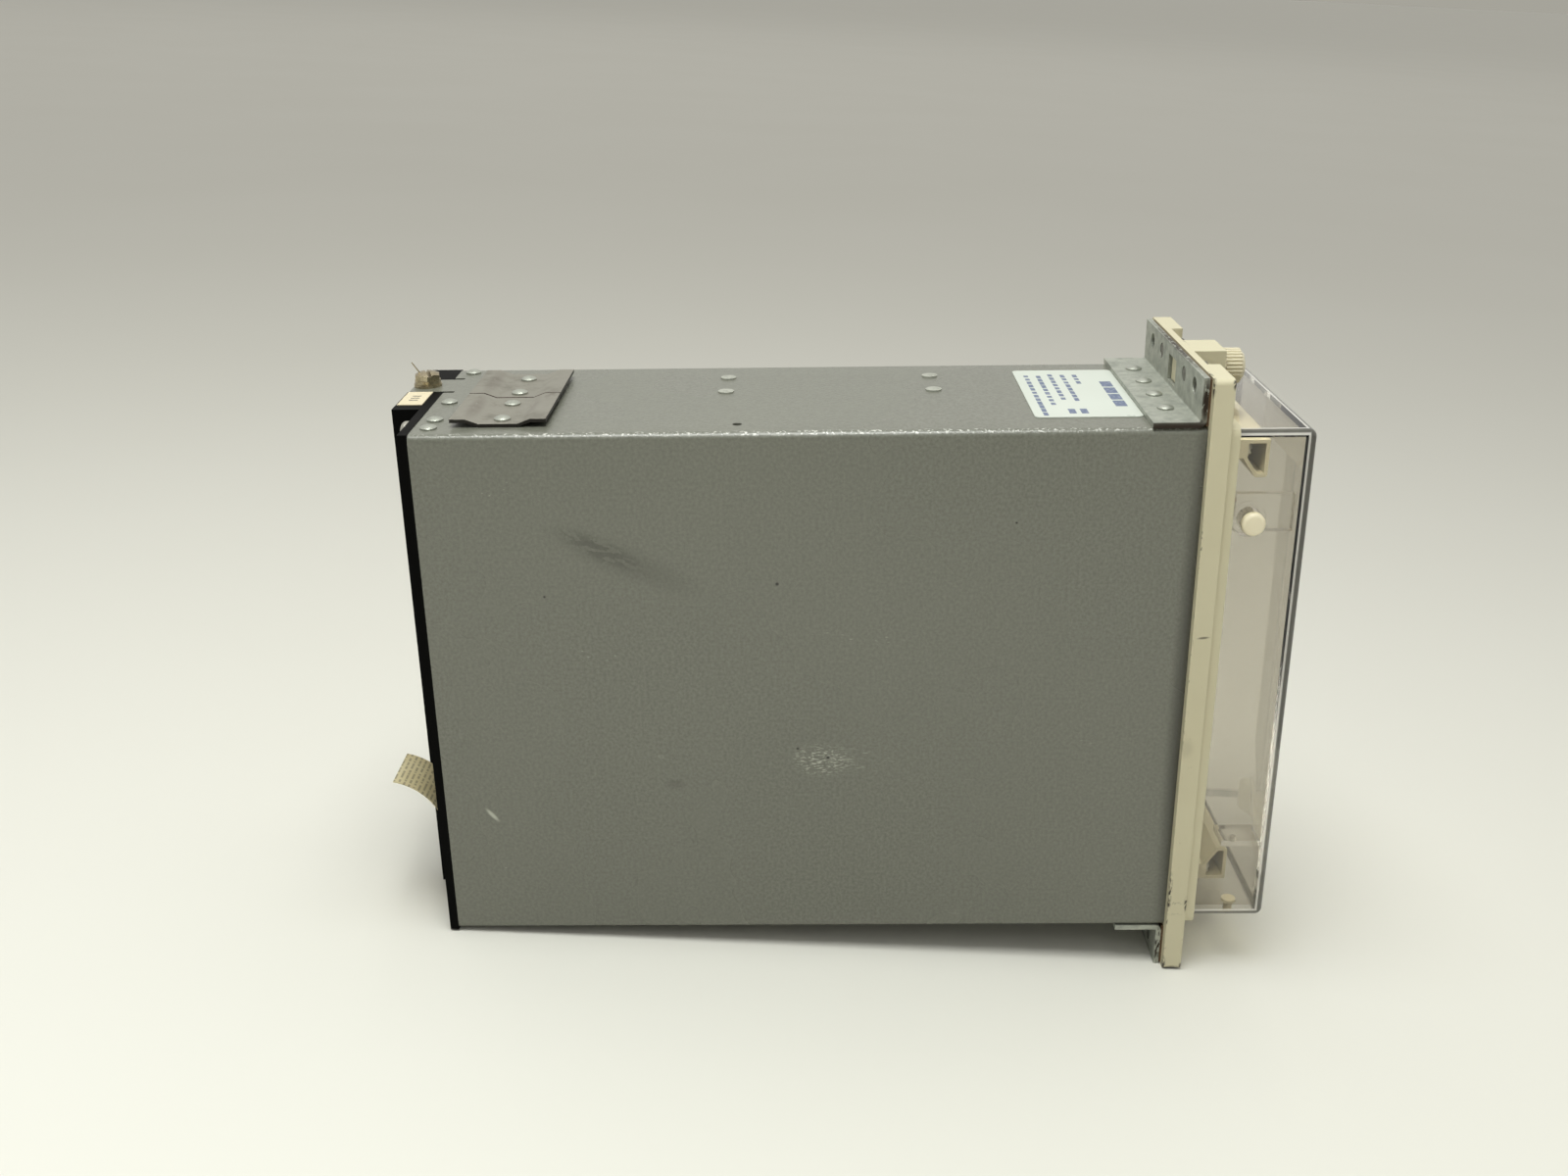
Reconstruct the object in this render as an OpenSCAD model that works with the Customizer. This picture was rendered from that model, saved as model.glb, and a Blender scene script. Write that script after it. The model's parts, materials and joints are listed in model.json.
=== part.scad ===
// Draw-out protection relay in a flush-mounting steel case.
// The front faces -Y and +Z is up. The origin is the centre of the four panel fixing holes, on the
// panel's front face, which the rear faces of the mounting angles lie against.

/* [Case] */
// Outside width of the folded sheet-steel case
case_w = 72; // [68:0.5:76]
// Outside height of the case
case_h = 150.4; // [147:0.2:153]
// Distance from the panel face to the rear edge of the case
case_depth = 204.7; // [200:0.1:230]
// Thickness of the case sheet
sheet_t = 1.2; // [0.8:0.1:1.5]
// Outside radius of the folded edges
fold_r = 2; // [1.8:0.1:4]
// Diameter of the spare hole in the case top
spare_hole_d = 2.5; // [1.5:0.1:4]
// Diameter of the rivet shanks
rivet_d = 3; // [2.4:0.1:3.2]
// Diameter of the rivet heads
rivet_head_d = 4.5; // [4.2:0.1:5.4]

/* [Earth terminal] */
// Middle of the earth tongue across the case
tongue_x = 16.6; // [14:0.1:19]
// Width of the earth tongue
tongue_w = 13.6; // [12:0.2:16]
// Length of the tongue beyond the rear edge of the case
tongue_len = 10; // [9:0.1:10.4]
// Diameter of the earth screw
earth_d = 4; // [3:0.5:5]

/* [Panel fixing] */
// Distance between the panel fixing holes across the case
fix_w = 52; // [50:0.5:54]
// Distance from the case's top and bottom to the panel fixing holes
fix_over = 8.8; // [8.3:0.1:9.8]
// Diameter of the panel fixing holes
fix_hole_d = 4.4; // [3.6:0.1:5]
// Thickness of the mounting angles
angle_t = 1.5; // [1:0.1:2]
// Length of the angle's foot along the case
angle_foot = 12; // [10:0.5:14]
// Metal beyond the fixing holes to the angle's edge
angle_edge = 4.3; // [3.5:0.1:4.5]
// Distance between neighbouring foot rivets
foot_rivet_pitch = 14.4; // [12:0.1:17]
// Thickness of the seal between angle and frame
seal_t = 0.6; // [0.4:0.1:1]

/* [Front frame] */
// How far the frame stands out beyond the case on each side
frame_side = 2.75; // [2.5:0.05:4]
// Frame material beyond the fixing holes to its top and bottom edge
frame_edge = 4.5; // [4.3:0.1:6]
// Thickness of the frame
frame_t = 5.3; // [4.5:0.1:7]
// Height of the rim around the cover
rim_t = 2.7; // [2:0.1:3]
// Wall of the rim
rim_wall = 1.2; // [0.8:0.1:1.5]
// Distance between the frame screws of one end
frame_screw_w = 27.6; // [26.5:0.1:29]
// Frame material between each screw notch and the fixing screw's pocket
notch_wall = 0.9; // [0.8:0.1:3]
// Width of the knob boss
boss_w = 13.6; // [12:0.1:16]
// How far the knob boss stands proud of the frame's face
boss_proud = 5.5; // [5:0.1:6.2]

/* [Cover] */
// Distance from the panel face to the front of the cover
cover_reach = 30.5; // [29:0.1:36]
// Wall thickness of the clear cover
cover_wall = 2.5; // [2:0.1:3]
// Radius of the cover's outer edges
cover_r = 2.2; // [1:0.1:3]
// Distance from the case's top and bottom to the thumb knobs
knob_over = 7.6; // [6.8:0.1:8.3]
// Diameter of the thumb knobs over their ridges
knob_d = 9.8; // [8.5:0.1:10.4]
// Length of the thumb knobs
knob_len = 6; // [5:0.1:8]
// Diameter of the thumb screw studs
stud_d = 4; // [3:0.1:5]
// Ridges around each thumb knob
knob_ridges = 28; // [20:1:32]

/* [Push button] */
// Diameter of the push button
button_d = 6.3; // [5.5:0.1:8]
// Height of the push button above the middle of the case
button_z = 49.2; // [40:0.1:51]
// Distance from the panel face to the push button's axis
button_reach = 15.9; // [15:0.1:18]
// How far the push button stands proud of the cover
button_proud = 1.5; // [1:0.1:2]

/* [Handles] */
// Width of each handle
handle_w = 44; // [36:0.5:48]
// Height of each handle
handle_h = 10.4; // [10:0.1:14]
// Distance from the panel face to the front of the handles
handle_reach = 22.6; // [21:0.1:26]
// Wall of the handle's loop
handle_wall = 1; // [0.8:0.1:1.6]

/* [Terminal block] */
// Width of the blank plate beside the terminal block
blank_w = 26.7; // [26:0.1:29]
// How far the block stands out behind the case
block_out = 10.5; // [10.4:0.1:13]
// Depth of the block inside the case
block_in = 8.7; // [7:0.1:12]
// Rows of terminals
rows = 14; // [10:1:14]
// Distance from the case's top and bottom to the first and last row's space
row_end = 6.6; // [5.6:0.1:8.6]
// Diameter of the terminal screws
term_d = 4; // [3:0.5:4]

/* [Clip plates] */
// Width of each clip plate
clip_w = 26.6; // [24:0.1:27.2]
// Length of each clip plate along the case
clip_len = 25.5; // [22:0.1:30]
// Thickness of the clip plates
clip_t = 1; // [0.8:0.1:1.5]
// Lift of the clip plates' raised ends
clip_lift = 1.3; // [0.8:0.1:2]

/* [Module] */
// Distance from the case's far side to the main board's middle plane
board_side = 22.2; // [20:0.1:24]
// Thickness of the boards
board_t = 1.6; // [1.2:0.1:1.9]
// Distance between the facing sides of the two boards
board_gap = 32.2; // [31:0.1:36]
// Thickness of the module's front plate
plate_t = 2.5; // [2:0.1:3.5]
// Distance from the panel face to the middle of the guide rails
rail_mid = 94.5; // [85:0.5:105]
// Length of the guide rails
rail_len = 110; // [90:1:120]
// Distance along the case between the rail rivets
rail_rivet_pitch = 58.6; // [50:0.1:80]

/* [Labels] */
// Length of the top label across the case
label_w = 51; // [40:0.5:56]
// Width of the top label along the case
label_l = 28.6; // [20:0.1:30]
// Thickness of the paper and film labels
label_t = 0.25; // [0.15:0.05:0.4]
// Radius that the peeled label curls to
curl_r = 18; // [12:0.5:24]
// Angle that the peeled label curls through
curl_angle = 78; // [40:1:85]

/* [Hidden] */
$fn = 48;
// Clearances: touching faces, close and loose holes on diameter, slots, slides, cover and studs
touch_gap = 0.05;
hole_gap = 0.1;
loose_gap = 0.4;
slot_gap = 0.3;
slide_gap = 0.3;
cover_gap = 0.4;
stud_gap = 0.08;
cut = 1;

// Case
case_side = case_w / 2;
case_top = case_h / 2;
in_x = case_side - sheet_t;
in_z = case_top - sheet_t;
rivet_tail_h = 0.8;
rivet_tail_d = rivet_d + 1.4;
low_head_h = 0.6;
rivet_rim = 0.4;
dome_head_h = 1.1;
spare_hole = [-case_side + 8.3, 119.3];
relief_w = 1.6;
relief_len = 3;

// Panel fixing and frame, from the panel face forwards
frame_back = -(angle_t + seal_t);
frame_face = frame_back - frame_t;
rim_front = frame_face - rim_t;
boss_face = frame_face - boss_proud;
fix_z = case_top + fix_over;
angle_top = fix_z + angle_edge;
angle_inset = 0.2;
angle_w = case_w - 2 * angle_inset;
angle_bend = angle_t + 0.5;
seal_inset = 0.4;
frame_w = case_w + 2 * frame_side;
frame_top = fix_z + frame_edge;
frame_corner = 1.5;
rim_inset = 0.95;
rim_over = -0.35;
rim_up = 1.25;
rim_x = frame_w / 2 - rim_inset;
rim_z = case_top + rim_over;
rim_r = 3;
frame_lip = 2;
open_x = in_x;
open_z = in_z - frame_lip;
web_t = 2;
web_face = frame_back - web_t;
notch_drop = 5;
notch_floor = fix_z - notch_drop;
screw_d = 3.9;
screw_head_d = 7;
screw_head_h = 2.2;
pocket_d = 7;
pocket_len = 3.4;
notch_w = fix_w / 2 - pocket_d / 2 - notch_wall - boss_w / 2;
key_w = 7;
key_gap = 1.1;
key_z = [fix_z - 5.6, fix_z + 1];
key_end = -0.8;
knob_z = case_top + knob_over;
boss_low = rim_z - rim_wall - rim_up;
stud_room = 0.5;

// Cover
cover_x = rim_x - rim_wall - cover_gap;
cover_z = rim_z - rim_wall - cover_gap;
cover_back = frame_face - 0.2;
cover_front = -cover_reach;
cover_in_x = cover_x - cover_wall;
cover_in_z = cover_z - cover_wall;
cover_in_y = cover_front + cover_wall;
cover_low = rim_up - cover_z;
cover_in_low = rim_up - cover_in_z;
lug_t = 2;
lug_cheek = 2.5;
lug_w = boss_w - 2 * lug_cheek;
lug_over = 4.3;
lug_top = knob_z + lug_over;
lug_sunk = 2.4;
lug_seat = boss_face + lug_sunk;
lug_back = lug_seat - cover_gap;
lug_front = lug_back - lug_t;
knob_back = lug_front - slide_gap;
knob_front = knob_back - knob_len;
ridge_h = 0.45;
ridge_turn = [0.1, 0.3, 0.7, 0.9];
knob_nose = 1;
knob_collar = 0.6;
stud_start = knob_front + 2;
stud_end = web_face - 0.9;
plug_at = [-cover_in_x + 2.4, -21.4];
plug_d = 2.6;
plug_head = [plug_d + 1.4, 0.9];
plug_proud = 0.8;
shelf_w = 9.2;
shelf_t = 1.8;
shelf_over = 9.5;
shelf_x = -cover_in_x + shelf_w;
shelf_hole = [shelf_x - 6.2, -21];
shelf_hole_d = 1.8;
shelf_back = -17;

// Push button and the cup that guides it, along X from the cover's near wall
button_y = -button_reach;
cup_r = button_d / 2 + 1.45;
cup_bore_d = button_d + loose_gap;
cup_depth = 3;
cup_end = -cover_in_x + cup_depth;
cup_floor_t = 0.9;
cap_face = -cover_x - button_proud;
cap_len = 2.6;
cap_edge = 0.6;
stem_d = 2.8;
stem_over = 1.2;
stem_end = cup_end + stem_over;
clip_ring_d = 4.4;
clip_ring_t = 0.6;
spring_r = (stem_d + cup_bore_d) / 4;
spring_wire = 0.35;
spring_turns = 3;
pad_y = [cover_in_y + 1, -11.7];
pad_z = [button_z - 3, button_z + 7.4];
pad_t = 2.5;

// Module
mod_x = open_x - slide_gap;
mod_z = open_z - slide_gap;
plate_face = frame_face + 0.4;
plate_back = plate_face + plate_t;
handle_drop = 3.8;
handle_top = mod_z - handle_drop;
handle_low = handle_top - handle_h;
shelf_z = [-handle_low + shelf_over - shelf_t, -handle_low + shelf_over];
handle_front = -handle_reach;
handle_gap_len = 4.7;
handle_seat = handle_front + handle_wall + handle_gap_len;
handle_run = 2.9;
handle_slope = 4.3;
handle_web = 3;
handle_screw_in = 2.4;
handle_screw_x = handle_w / 2 - handle_screw_in;
handle_screw_d = 2;
handle_screw_room = 0.5;
handle_gap_h = handle_h - handle_slope - 2 * handle_wall;
handle_screw_z = handle_top - handle_wall - handle_gap_h / 2;
handle_screw_head = [handle_gap_h - handle_screw_room, 1.3];
handle_lip = 0.6;
board_x = case_side - board_side;
board_near = board_x - board_t / 2;
board_far = board_x + board_t / 2;
second_far = board_near - board_gap;
second_near = second_far - board_t;
second_y = [10, 160];
second_z = mod_z - 11.7;
spacer_y = [second_y[0] + 15, second_y[1] - 10];
spacer_z = second_z - 8;
spacer_at = [for (y = spacer_y) for (s = [-1, 1]) [y, s * spacer_z]];
spacer_d = 6;
small_screw_d = 3;
small_head = [5.4, 1.7];
lamp_x = 8;
lamp_z = handle_low - 9.6;
lamp_at = [[-lamp_x, lamp_z], [lamp_x, lamp_z]];
lamp_d = 3;
lamp_collar = 1;
lamp_tail = 1.5;
nameplate_w = 50;
nameplate_room = [14.6, 22.6];
nameplate_z = [-handle_low + nameplate_room[0], handle_low - nameplate_room[1]];
bracket_t = 1.5;
bracket_drop = 24.7;
bracket_z = mod_z - bracket_drop;
bracket_w = 10;
bracket_len = 16;
bracket_screw_x = board_far + 7;
bracket_screw_in = 11;
bracket_screw_y = plate_back + bracket_screw_in;
bracket_x = bracket_screw_x + 5;
board_room = 0.4;
screw_over = 1;
spacer_screw = 6;

// Guide rails, riveted under the case top and over its floor
rail_h = 5.2;
rail_flange_t = 2;
rail_flange_w = 24;
rail_body_w = 8;
rail_low = in_z - rail_h;
rail_rivet_w = 15.8;

// Terminal block and the plug that meets it
block_near = -case_side + blank_w;
block_front = case_depth - block_in;
block_back = case_depth + block_out;
block_w = case_side - block_near;
block_mid = block_near + block_w / 2;
block_wall = 2;
barrier = 2.4;
pocket_w = (block_w - 2 * block_wall - barrier) / 2;
row_pitch = (case_h - 2 * row_end) / rows;
row_wall = 1.6;
pocket_h = row_pitch - row_wall;
pocket_depth = 6;
pocket_floor = block_back - pocket_depth;
col_x = [block_mid - (pocket_w + barrier) / 2, block_mid + (pocket_w + barrier) / 2];
plate_thick = 0.8;
washer_thick = 0.9;
plate_inset = [1.5, 0.6];
washer_inset = 0.4;
shank_room = 0.2;
head_room = 0.5;
term_head = [pocket_h - 2 * head_room, 2.6];
term_shank_end = pocket_floor - 6;
blade_x = [col_x[0] - 6, col_x[1] + 6];
blade_t = 0.8;
blade_h = 4;
blade_gap = 0.3;
slot_end = pocket_floor - 3;
plug_gap = 0.6;
plug_back = block_front - plug_gap;
plug_len = 19.4;
plug_front = plug_back - plug_len;
plug_z = rail_low - 1.3;
plug_x = [block_near + 2, in_x - 0.8];
blade_end = slot_end - 1;
function row_z(i) = (i - (rows - 1) / 2) * row_pitch;

// Blank plate and its brackets
blank_t = 2.5;
blank_x = [-case_side, block_near - 0.2];
blank_z = case_top + 0.2;
rear_bracket_t = 1.2;
rear_bracket_x = [-in_x + fold_r - sheet_t + 0.7, block_near - 6.7];
rear_bracket_len = 12;
blank_screw_in = 10.7;
blank_screw_x = block_near - blank_screw_in;
blank_screw_drop = 4;
blank_screw_z = case_top - blank_screw_drop;
blank_head = [7, 2.8];
blank_screw_over = 0.6;
rear_rivet_y = case_depth - 4.2;
rear_rivet_x = [-case_side + 7, -case_side + 15.1, block_near + 6.5, case_side - 4.6];
rear_tail_room = 2;
rear_bracket_leg = 5;

// Earth terminal
earth_y = case_depth + 6.1;
earth_flat_d = 8;
earth_flat_t = 0.8;
earth_spring_t = 1.1;
earth_head = [7.8, 2.5];
earth_crown = [3, 0.1];
earth_seat = case_top + earth_flat_t + earth_spring_t;
earth_len = 5.5;
earth_tip = 0.4;
spring_washer_w = 3.4;
spring_split = 0.6;
earth_slot = [1, 1.2];

// Clip plates on the case top
clip_start = -case_side + 7.4;
clip_gap = 0.6;
clip_x = [clip_start, clip_start + clip_w + clip_gap];
clip_back = case_depth - 9.7;
clip_front = clip_back - clip_len;
clip_end = 4.2;
clip_ramp = 3.4;
clip_rivet_at = [4.4, 19.8];
clip_rivet_y = (clip_front + clip_back) / 2 - 0.5;

// Labels
label_gap = 0.1;
label_r = 1.5;
label_mid = [0.75, angle_foot + label_gap + label_l / 2];
block_top = case_top - 0.1;
sticker_x = [block_near + 4.2, tongue_x - tongue_w / 2 - 0.8];
sticker_y = [case_depth + 3, block_back - 0.5];
curl_x = [-case_side + 8, block_near - 1.4];
curl_over = 23.2;
curl_z = -blank_screw_z + curl_over;
curl_stuck = 17;

// Transformer, output relays and capacitors on the main board
core_at = [58, -24];
core_w = 44;
core_h = 36;
core_stack = 16;
core_leg = 5.5;
coil_clear = 0.3;
coil_depth = 26;
relay_size = [16, 29, 12.8];
relay_y = 100;
relay_z = [2, 20, 38];
can_d = 16;
can_len = 25;
can_at = [[112, -24], [134, -24]];

// A block between two corners
module block(x0, x1, y0, y1, z0, z1) {
    translate([x0, y0, z0]) cube([x1 - x0, y1 - y0, z1 - z0]);
}

// Round bars along X, Y and Z
module bar_x(y, z, d, x0, x1) {
    translate([x0, y, z]) rotate([0, 90, 0]) cylinder(d = d, h = x1 - x0);
}
module bar_y(x, z, d, y0, y1) {
    translate([x, y0, z]) rotate([-90, 0, 0]) cylinder(d = d, h = y1 - y0);
}
module bar_z(x, y, d, z0, z1) {
    translate([x, y, z0]) cylinder(d = d, h = z1 - z0);
}

// An XZ outline carried along Y, and a YZ outline carried along X
module along_y(y0, y1) {
    translate([0, y1, 0]) rotate([90, 0, 0]) linear_extrude(y1 - y0) children();
}
module along_x(x0, x1) {
    translate([x0, 0, 0]) rotate([90, 0, 90]) linear_extrude(x1 - x0) children();
}

// A centred rectangle with round corners
module round_rect(w, h, r) {
    square([w - 2 * r, h], center = true);
    square([w, h - 2 * r], center = true);
    for (x = [-1, 1], y = [-1, 1])
        translate([x * (w / 2 - r), y * (h / 2 - r)]) circle(r);
}

// A low dome standing on Z = 0
module dome(d, h) {
    r = (d * d / 4 + h * h) / (2 * h);
    intersection() {
        translate([0, 0, h - r]) sphere(r);
        cylinder(d = d, h = h);
    }
}

// A rivet seated on Z = 0 that grips what lies below it
module rivet(head_h, grip) {
    cylinder(d = rivet_head_d, h = rivet_rim);
    translate([0, 0, rivet_rim]) dome(rivet_head_d, head_h - rivet_rim);
    translate([0, 0, -grip]) cylinder(d = rivet_d, h = grip);
    translate([0, 0, -grip - rivet_tail_h]) cylinder(d = rivet_tail_d, h = rivet_tail_h);
}
module rivet_hole(x, y, z0, z1) {
    bar_z(x, y, rivet_d + hole_gap, z0 - cut, z1 + cut);
}

// The same shape at the top and the bottom of the relay
module both_ends() {
    children();
    mirror([0, 0, 1]) children();
}

// A slotted pan-head screw along +Y, with the underside of its head on Y = 0
module pan_screw(d, head, length) {
    difference() {
        rotate([90, 0, 0]) dome_pan(head[0], head[1]);
        block(-head[0], head[0], -head[1] - cut, -head[1] * 0.55, -0.4, 0.4);
    }
    rotate([-90, 0, 0]) cylinder(d = d, h = length);
}
// A flat-topped head with a rounded shoulder, standing on Z = 0
module dome_pan(d, h) {
    rotate_extrude() {
        square([d / 2, h * 0.5]);
        square([d / 2 - h * 0.5, h]);
        translate([d / 2 - h * 0.5, h * 0.5]) circle(h * 0.5);
    }
}

function foot_rivets() = [for (i = [-1.5:1:1.5]) [i * foot_rivet_pitch, angle_foot / 2]];
function rail_rivets() = [for (x = [-1, 1], y = [-1, 1])
    [board_x + x * rail_rivet_w / 2, rail_mid + y * rail_rivet_pitch / 2]];
function clip_rivets_at() = [for (x = clip_x, o = clip_rivet_at) [x + o, clip_rivet_y]];

// Folded case with its earth tongue
module case_shell() {
    color("#74766b")
    difference() {
        union() {
            along_y(frame_back, case_depth)
                difference() {
                    round_rect(case_w, case_h, fold_r);
                    round_rect(2 * in_x, 2 * in_z, fold_r - sheet_t);
                }
            block(tongue_x - tongue_w / 2, tongue_x + tongue_w / 2,
                case_depth - cut, case_depth + tongue_len, in_z, case_top);
        }
        for (s = [-1, 1])
            translate([tongue_x + s * (tongue_w + relief_w) / 2, 0, 0])
                block(-relief_w / 2, relief_w / 2, case_depth - relief_len, case_depth + cut,
                    in_z - cut, case_top + cut);
        both_ends() {
            for (p = foot_rivets()) rivet_hole(p[0], p[1], in_z, case_top);
            for (p = rail_rivets()) rivet_hole(p[0], p[1], in_z, case_top);
            for (x = rear_rivet_x) rivet_hole(x, rear_rivet_y, in_z, case_top);
        }
        for (p = clip_rivets_at()) rivet_hole(p[0], p[1], in_z, case_top);
        bar_z(spare_hole[0], spare_hole[1], spare_hole_d, in_z - cut, case_top + cut);
        bar_z(tongue_x, earth_y, earth_d + loose_gap, in_z - cut, case_top + cut);
    }
}

// Slot that the frame's key passes through
module key_slot() {
    block(-key_w / 2 - key_gap, key_w / 2 + key_gap, frame_back - cut, cut,
        key_z[0] - slot_gap, key_z[1] + slot_gap);
}
// Folded angle, as the upper one stands
module mounting_angle() {
    color("#9aa19a")
    difference() {
        along_x(-angle_w / 2, angle_w / 2) {
            translate([-angle_t, case_top + angle_bend])
                square([angle_t, angle_top - case_top - angle_bend]);
            translate([-angle_t + angle_bend, case_top])
                square([angle_foot + angle_t - angle_bend, angle_t]);
            translate([-angle_t + angle_bend, case_top + angle_bend])
                intersection() {
                    difference() {
                        circle(angle_bend);
                        circle(angle_bend - angle_t);
                    }
                    translate([-angle_bend, -angle_bend]) square(angle_bend);
                }
        }
        for (s = [-1, 1]) {
            bar_y(s * fix_w / 2, fix_z, fix_hole_d, -angle_t - cut, cut);
            bar_y(s * frame_screw_w / 2, fix_z, screw_d + loose_gap, -angle_t - cut, cut);
        }
        key_slot();
        for (p = foot_rivets()) rivet_hole(p[0], p[1], case_top, case_top + angle_t);
    }
}
module top_mounting_angle() {
    mounting_angle();
}
module bottom_mounting_angle() {
    mirror([0, 0, 1]) mounting_angle();
}

module angle_rivets() {
    color("#b4b8b0")
    both_ends()
        for (p = foot_rivets())
            translate([p[0], p[1], case_top + angle_t]) rivet(dome_head_h, angle_t + sheet_t);
}

// Seal strips between the angles and the frame
module frame_seal() {
    color("#5d4a37")
    both_ends()
        difference() {
            block(-angle_w / 2, angle_w / 2, frame_back, -angle_t,
                case_top + seal_inset, angle_top - seal_inset);
            for (s = [-1, 1]) {
                bar_y(s * fix_w / 2, fix_z, pocket_d, frame_back - cut, cut);
                bar_y(s * frame_screw_w / 2, fix_z, screw_d + loose_gap, frame_back - cut, cut);
            }
            key_slot();
        }
}

// Moulded frame: plate, cover rim, knob bosses, screw notches and keys into the angle slots
module front_frame() {
    color("#d9d4bd")
    difference() {
        union() {
            along_y(frame_face, frame_back) round_rect(frame_w, 2 * frame_top, frame_corner);
            translate([0, 0, rim_up])
                along_y(rim_front, frame_face) round_rect(2 * rim_x, 2 * rim_z, rim_r);
            both_ends() {
                block(-boss_w / 2, boss_w / 2, boss_face, frame_back, boss_low, frame_top);
                block(-key_w / 2, key_w / 2, frame_back - cut, key_end, key_z[0], key_z[1]);
            }
        }
        along_y(rim_front - cut, frame_back + cut) square([2 * open_x, 2 * open_z], center = true);
        translate([0, 0, rim_up])
            along_y(boss_face - cut, frame_face)
                round_rect(2 * (rim_x - rim_wall), 2 * (rim_z - rim_wall), rim_r - rim_wall);
        both_ends() {
            for (s = [-1, 1]) {
                translate([s * (boss_w + notch_w) / 2, 0, 0])
                    block(-notch_w / 2, notch_w / 2, frame_face - cut, web_face,
                        notch_floor, frame_top + cut);
                bar_y(s * frame_screw_w / 2, fix_z, screw_d + loose_gap, web_face - cut, frame_back + cut);
                bar_y(s * fix_w / 2, fix_z, pocket_d, frame_back - pocket_len, frame_back + cut);
            }
            block(-lug_w / 2 - cover_gap, lug_w / 2 + cover_gap, boss_face - cut, lug_seat,
                boss_low, lug_top + cover_gap);
            bar_y(0, knob_z, stud_d + 2 * stud_gap, boss_face - cut, stud_end + stud_room);
        }
    }
}

module frame_screws() {
    color("#a9a9a2")
    both_ends()
        for (s = [-1, 1])
            translate([s * frame_screw_w / 2, web_face, fix_z])
                pan_screw(screw_d, [screw_head_d, screw_head_h], -web_face - 0.1);
}

// Joggled plate: a flat middle on the case top and two raised ends
module clip_plate(x0) {
    ramp = [clip_front + clip_end, clip_front + clip_end + clip_ramp,
        clip_back - clip_end - clip_ramp, clip_back - clip_end];
    under = [[clip_front, clip_lift], [ramp[0], clip_lift], [ramp[1], 0],
        [ramp[2], 0], [ramp[3], clip_lift], [clip_back, clip_lift]];
    over = [for (i = [len(under) - 1:-1:0]) under[i] + [0, clip_t]];
    color("#9ea39b")
    difference() {
        translate([0, 0, case_top]) along_x(x0, x0 + clip_w) polygon(concat(under, over));
        for (o = clip_rivet_at)
            rivet_hole(x0 + o, clip_rivet_y, case_top, case_top + clip_t);
    }
}
module near_clip_plate() {
    clip_plate(clip_x[0]);
}
module far_clip_plate() {
    clip_plate(clip_x[1]);
}
module clip_rivets() {
    color("#b4b8b0")
    for (p = clip_rivets_at())
        translate([p[0], p[1], case_top + clip_t]) rivet(dome_head_h, clip_t + sheet_t);
}

module guide_rivets() {
    color("#8c8f86")
    both_ends()
        for (p = rail_rivets())
            translate([p[0], p[1], case_top]) rivet(low_head_h, sheet_t + rail_flange_t);
}

// The near pair holds the blank plate's bracket, the far pair the terminal block
module rear_rivets() {
    color("#b4b8b0")
    both_ends()
        for (x = rear_rivet_x)
            translate([x, rear_rivet_y, case_top])
                rivet(dome_head_h, sheet_t + (x < block_near ? rear_bracket_t : block_wall));
}

// Moulded rail with a groove for the main board's edge, as the upper one lies
module guide_rail() {
    y0 = rail_mid - rail_len / 2;
    y1 = rail_mid + rail_len / 2;
    groove = board_t + loose_gap;
    color("#3a3a38")
    difference() {
        translate([board_x, 0, 0]) {
            block(-rail_flange_w / 2, rail_flange_w / 2, y0, y1, in_z - rail_flange_t, in_z);
            block(-rail_body_w / 2, rail_body_w / 2, y0, y1, rail_low, in_z - rail_flange_t);
        }
        block(board_x - groove / 2, board_x + groove / 2, y0 - cut, y1 + cut,
            rail_low - cut, mod_z + slide_gap);
        for (p = rail_rivets()) rivet_hole(p[0], p[1], in_z - rail_flange_t, in_z);
    }
}
module upper_guide_rail() {
    guide_rail();
}
module lower_guide_rail() {
    mirror([0, 0, 1]) guide_rail();
}

// Terminal block: a pocket for each terminal at the rear, a slot for each blade at the front
module terminal_block() {
    color("#1b1b19")
    difference() {
        union() {
            intersection() {
                along_y(block_front, case_depth + cut)
                    round_rect(2 * in_x - 2 * touch_gap, 2 * in_z - 2 * touch_gap, fold_r - sheet_t);
                block(block_near, in_x, block_front, case_depth + cut, -in_z, in_z);
            }
            block(block_near, case_side, case_depth, block_back, -case_top, block_top);
        }
        block(tongue_x - tongue_w / 2 - slot_gap, tongue_x + tongue_w / 2 + slot_gap,
            case_depth, block_back + cut, in_z - hole_gap, case_top + cut);
        for (c = [0, 1], i = [0:rows - 1]) {
            block(col_x[c] - pocket_w / 2, col_x[c] + pocket_w / 2, pocket_floor, block_back + cut,
                row_z(i) - pocket_h / 2, row_z(i) + pocket_h / 2);
            bar_y(col_x[c], row_z(i), term_d + hole_gap, term_shank_end - shank_room, pocket_floor + cut);
            block(blade_x[c] - blade_t / 2 - blade_gap, blade_x[c] + blade_t / 2 + blade_gap,
                block_front - cut, slot_end,
                row_z(i) - blade_h / 2 - blade_gap, row_z(i) + blade_h / 2 + blade_gap);
        }
        bar_z(tongue_x, earth_y, earth_d + loose_gap, in_z - earth_len, in_z + cut);
        both_ends()
            for (x = rear_rivet_x)
                if (x > block_near) {
                    rivet_hole(x, rear_rivet_y, in_z - block_wall, in_z);
                    bar_z(x, rear_rivet_y, rivet_tail_d + loose_gap,
                        in_z - block_wall - rear_tail_room, in_z - block_wall);
                }
    }
}

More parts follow.
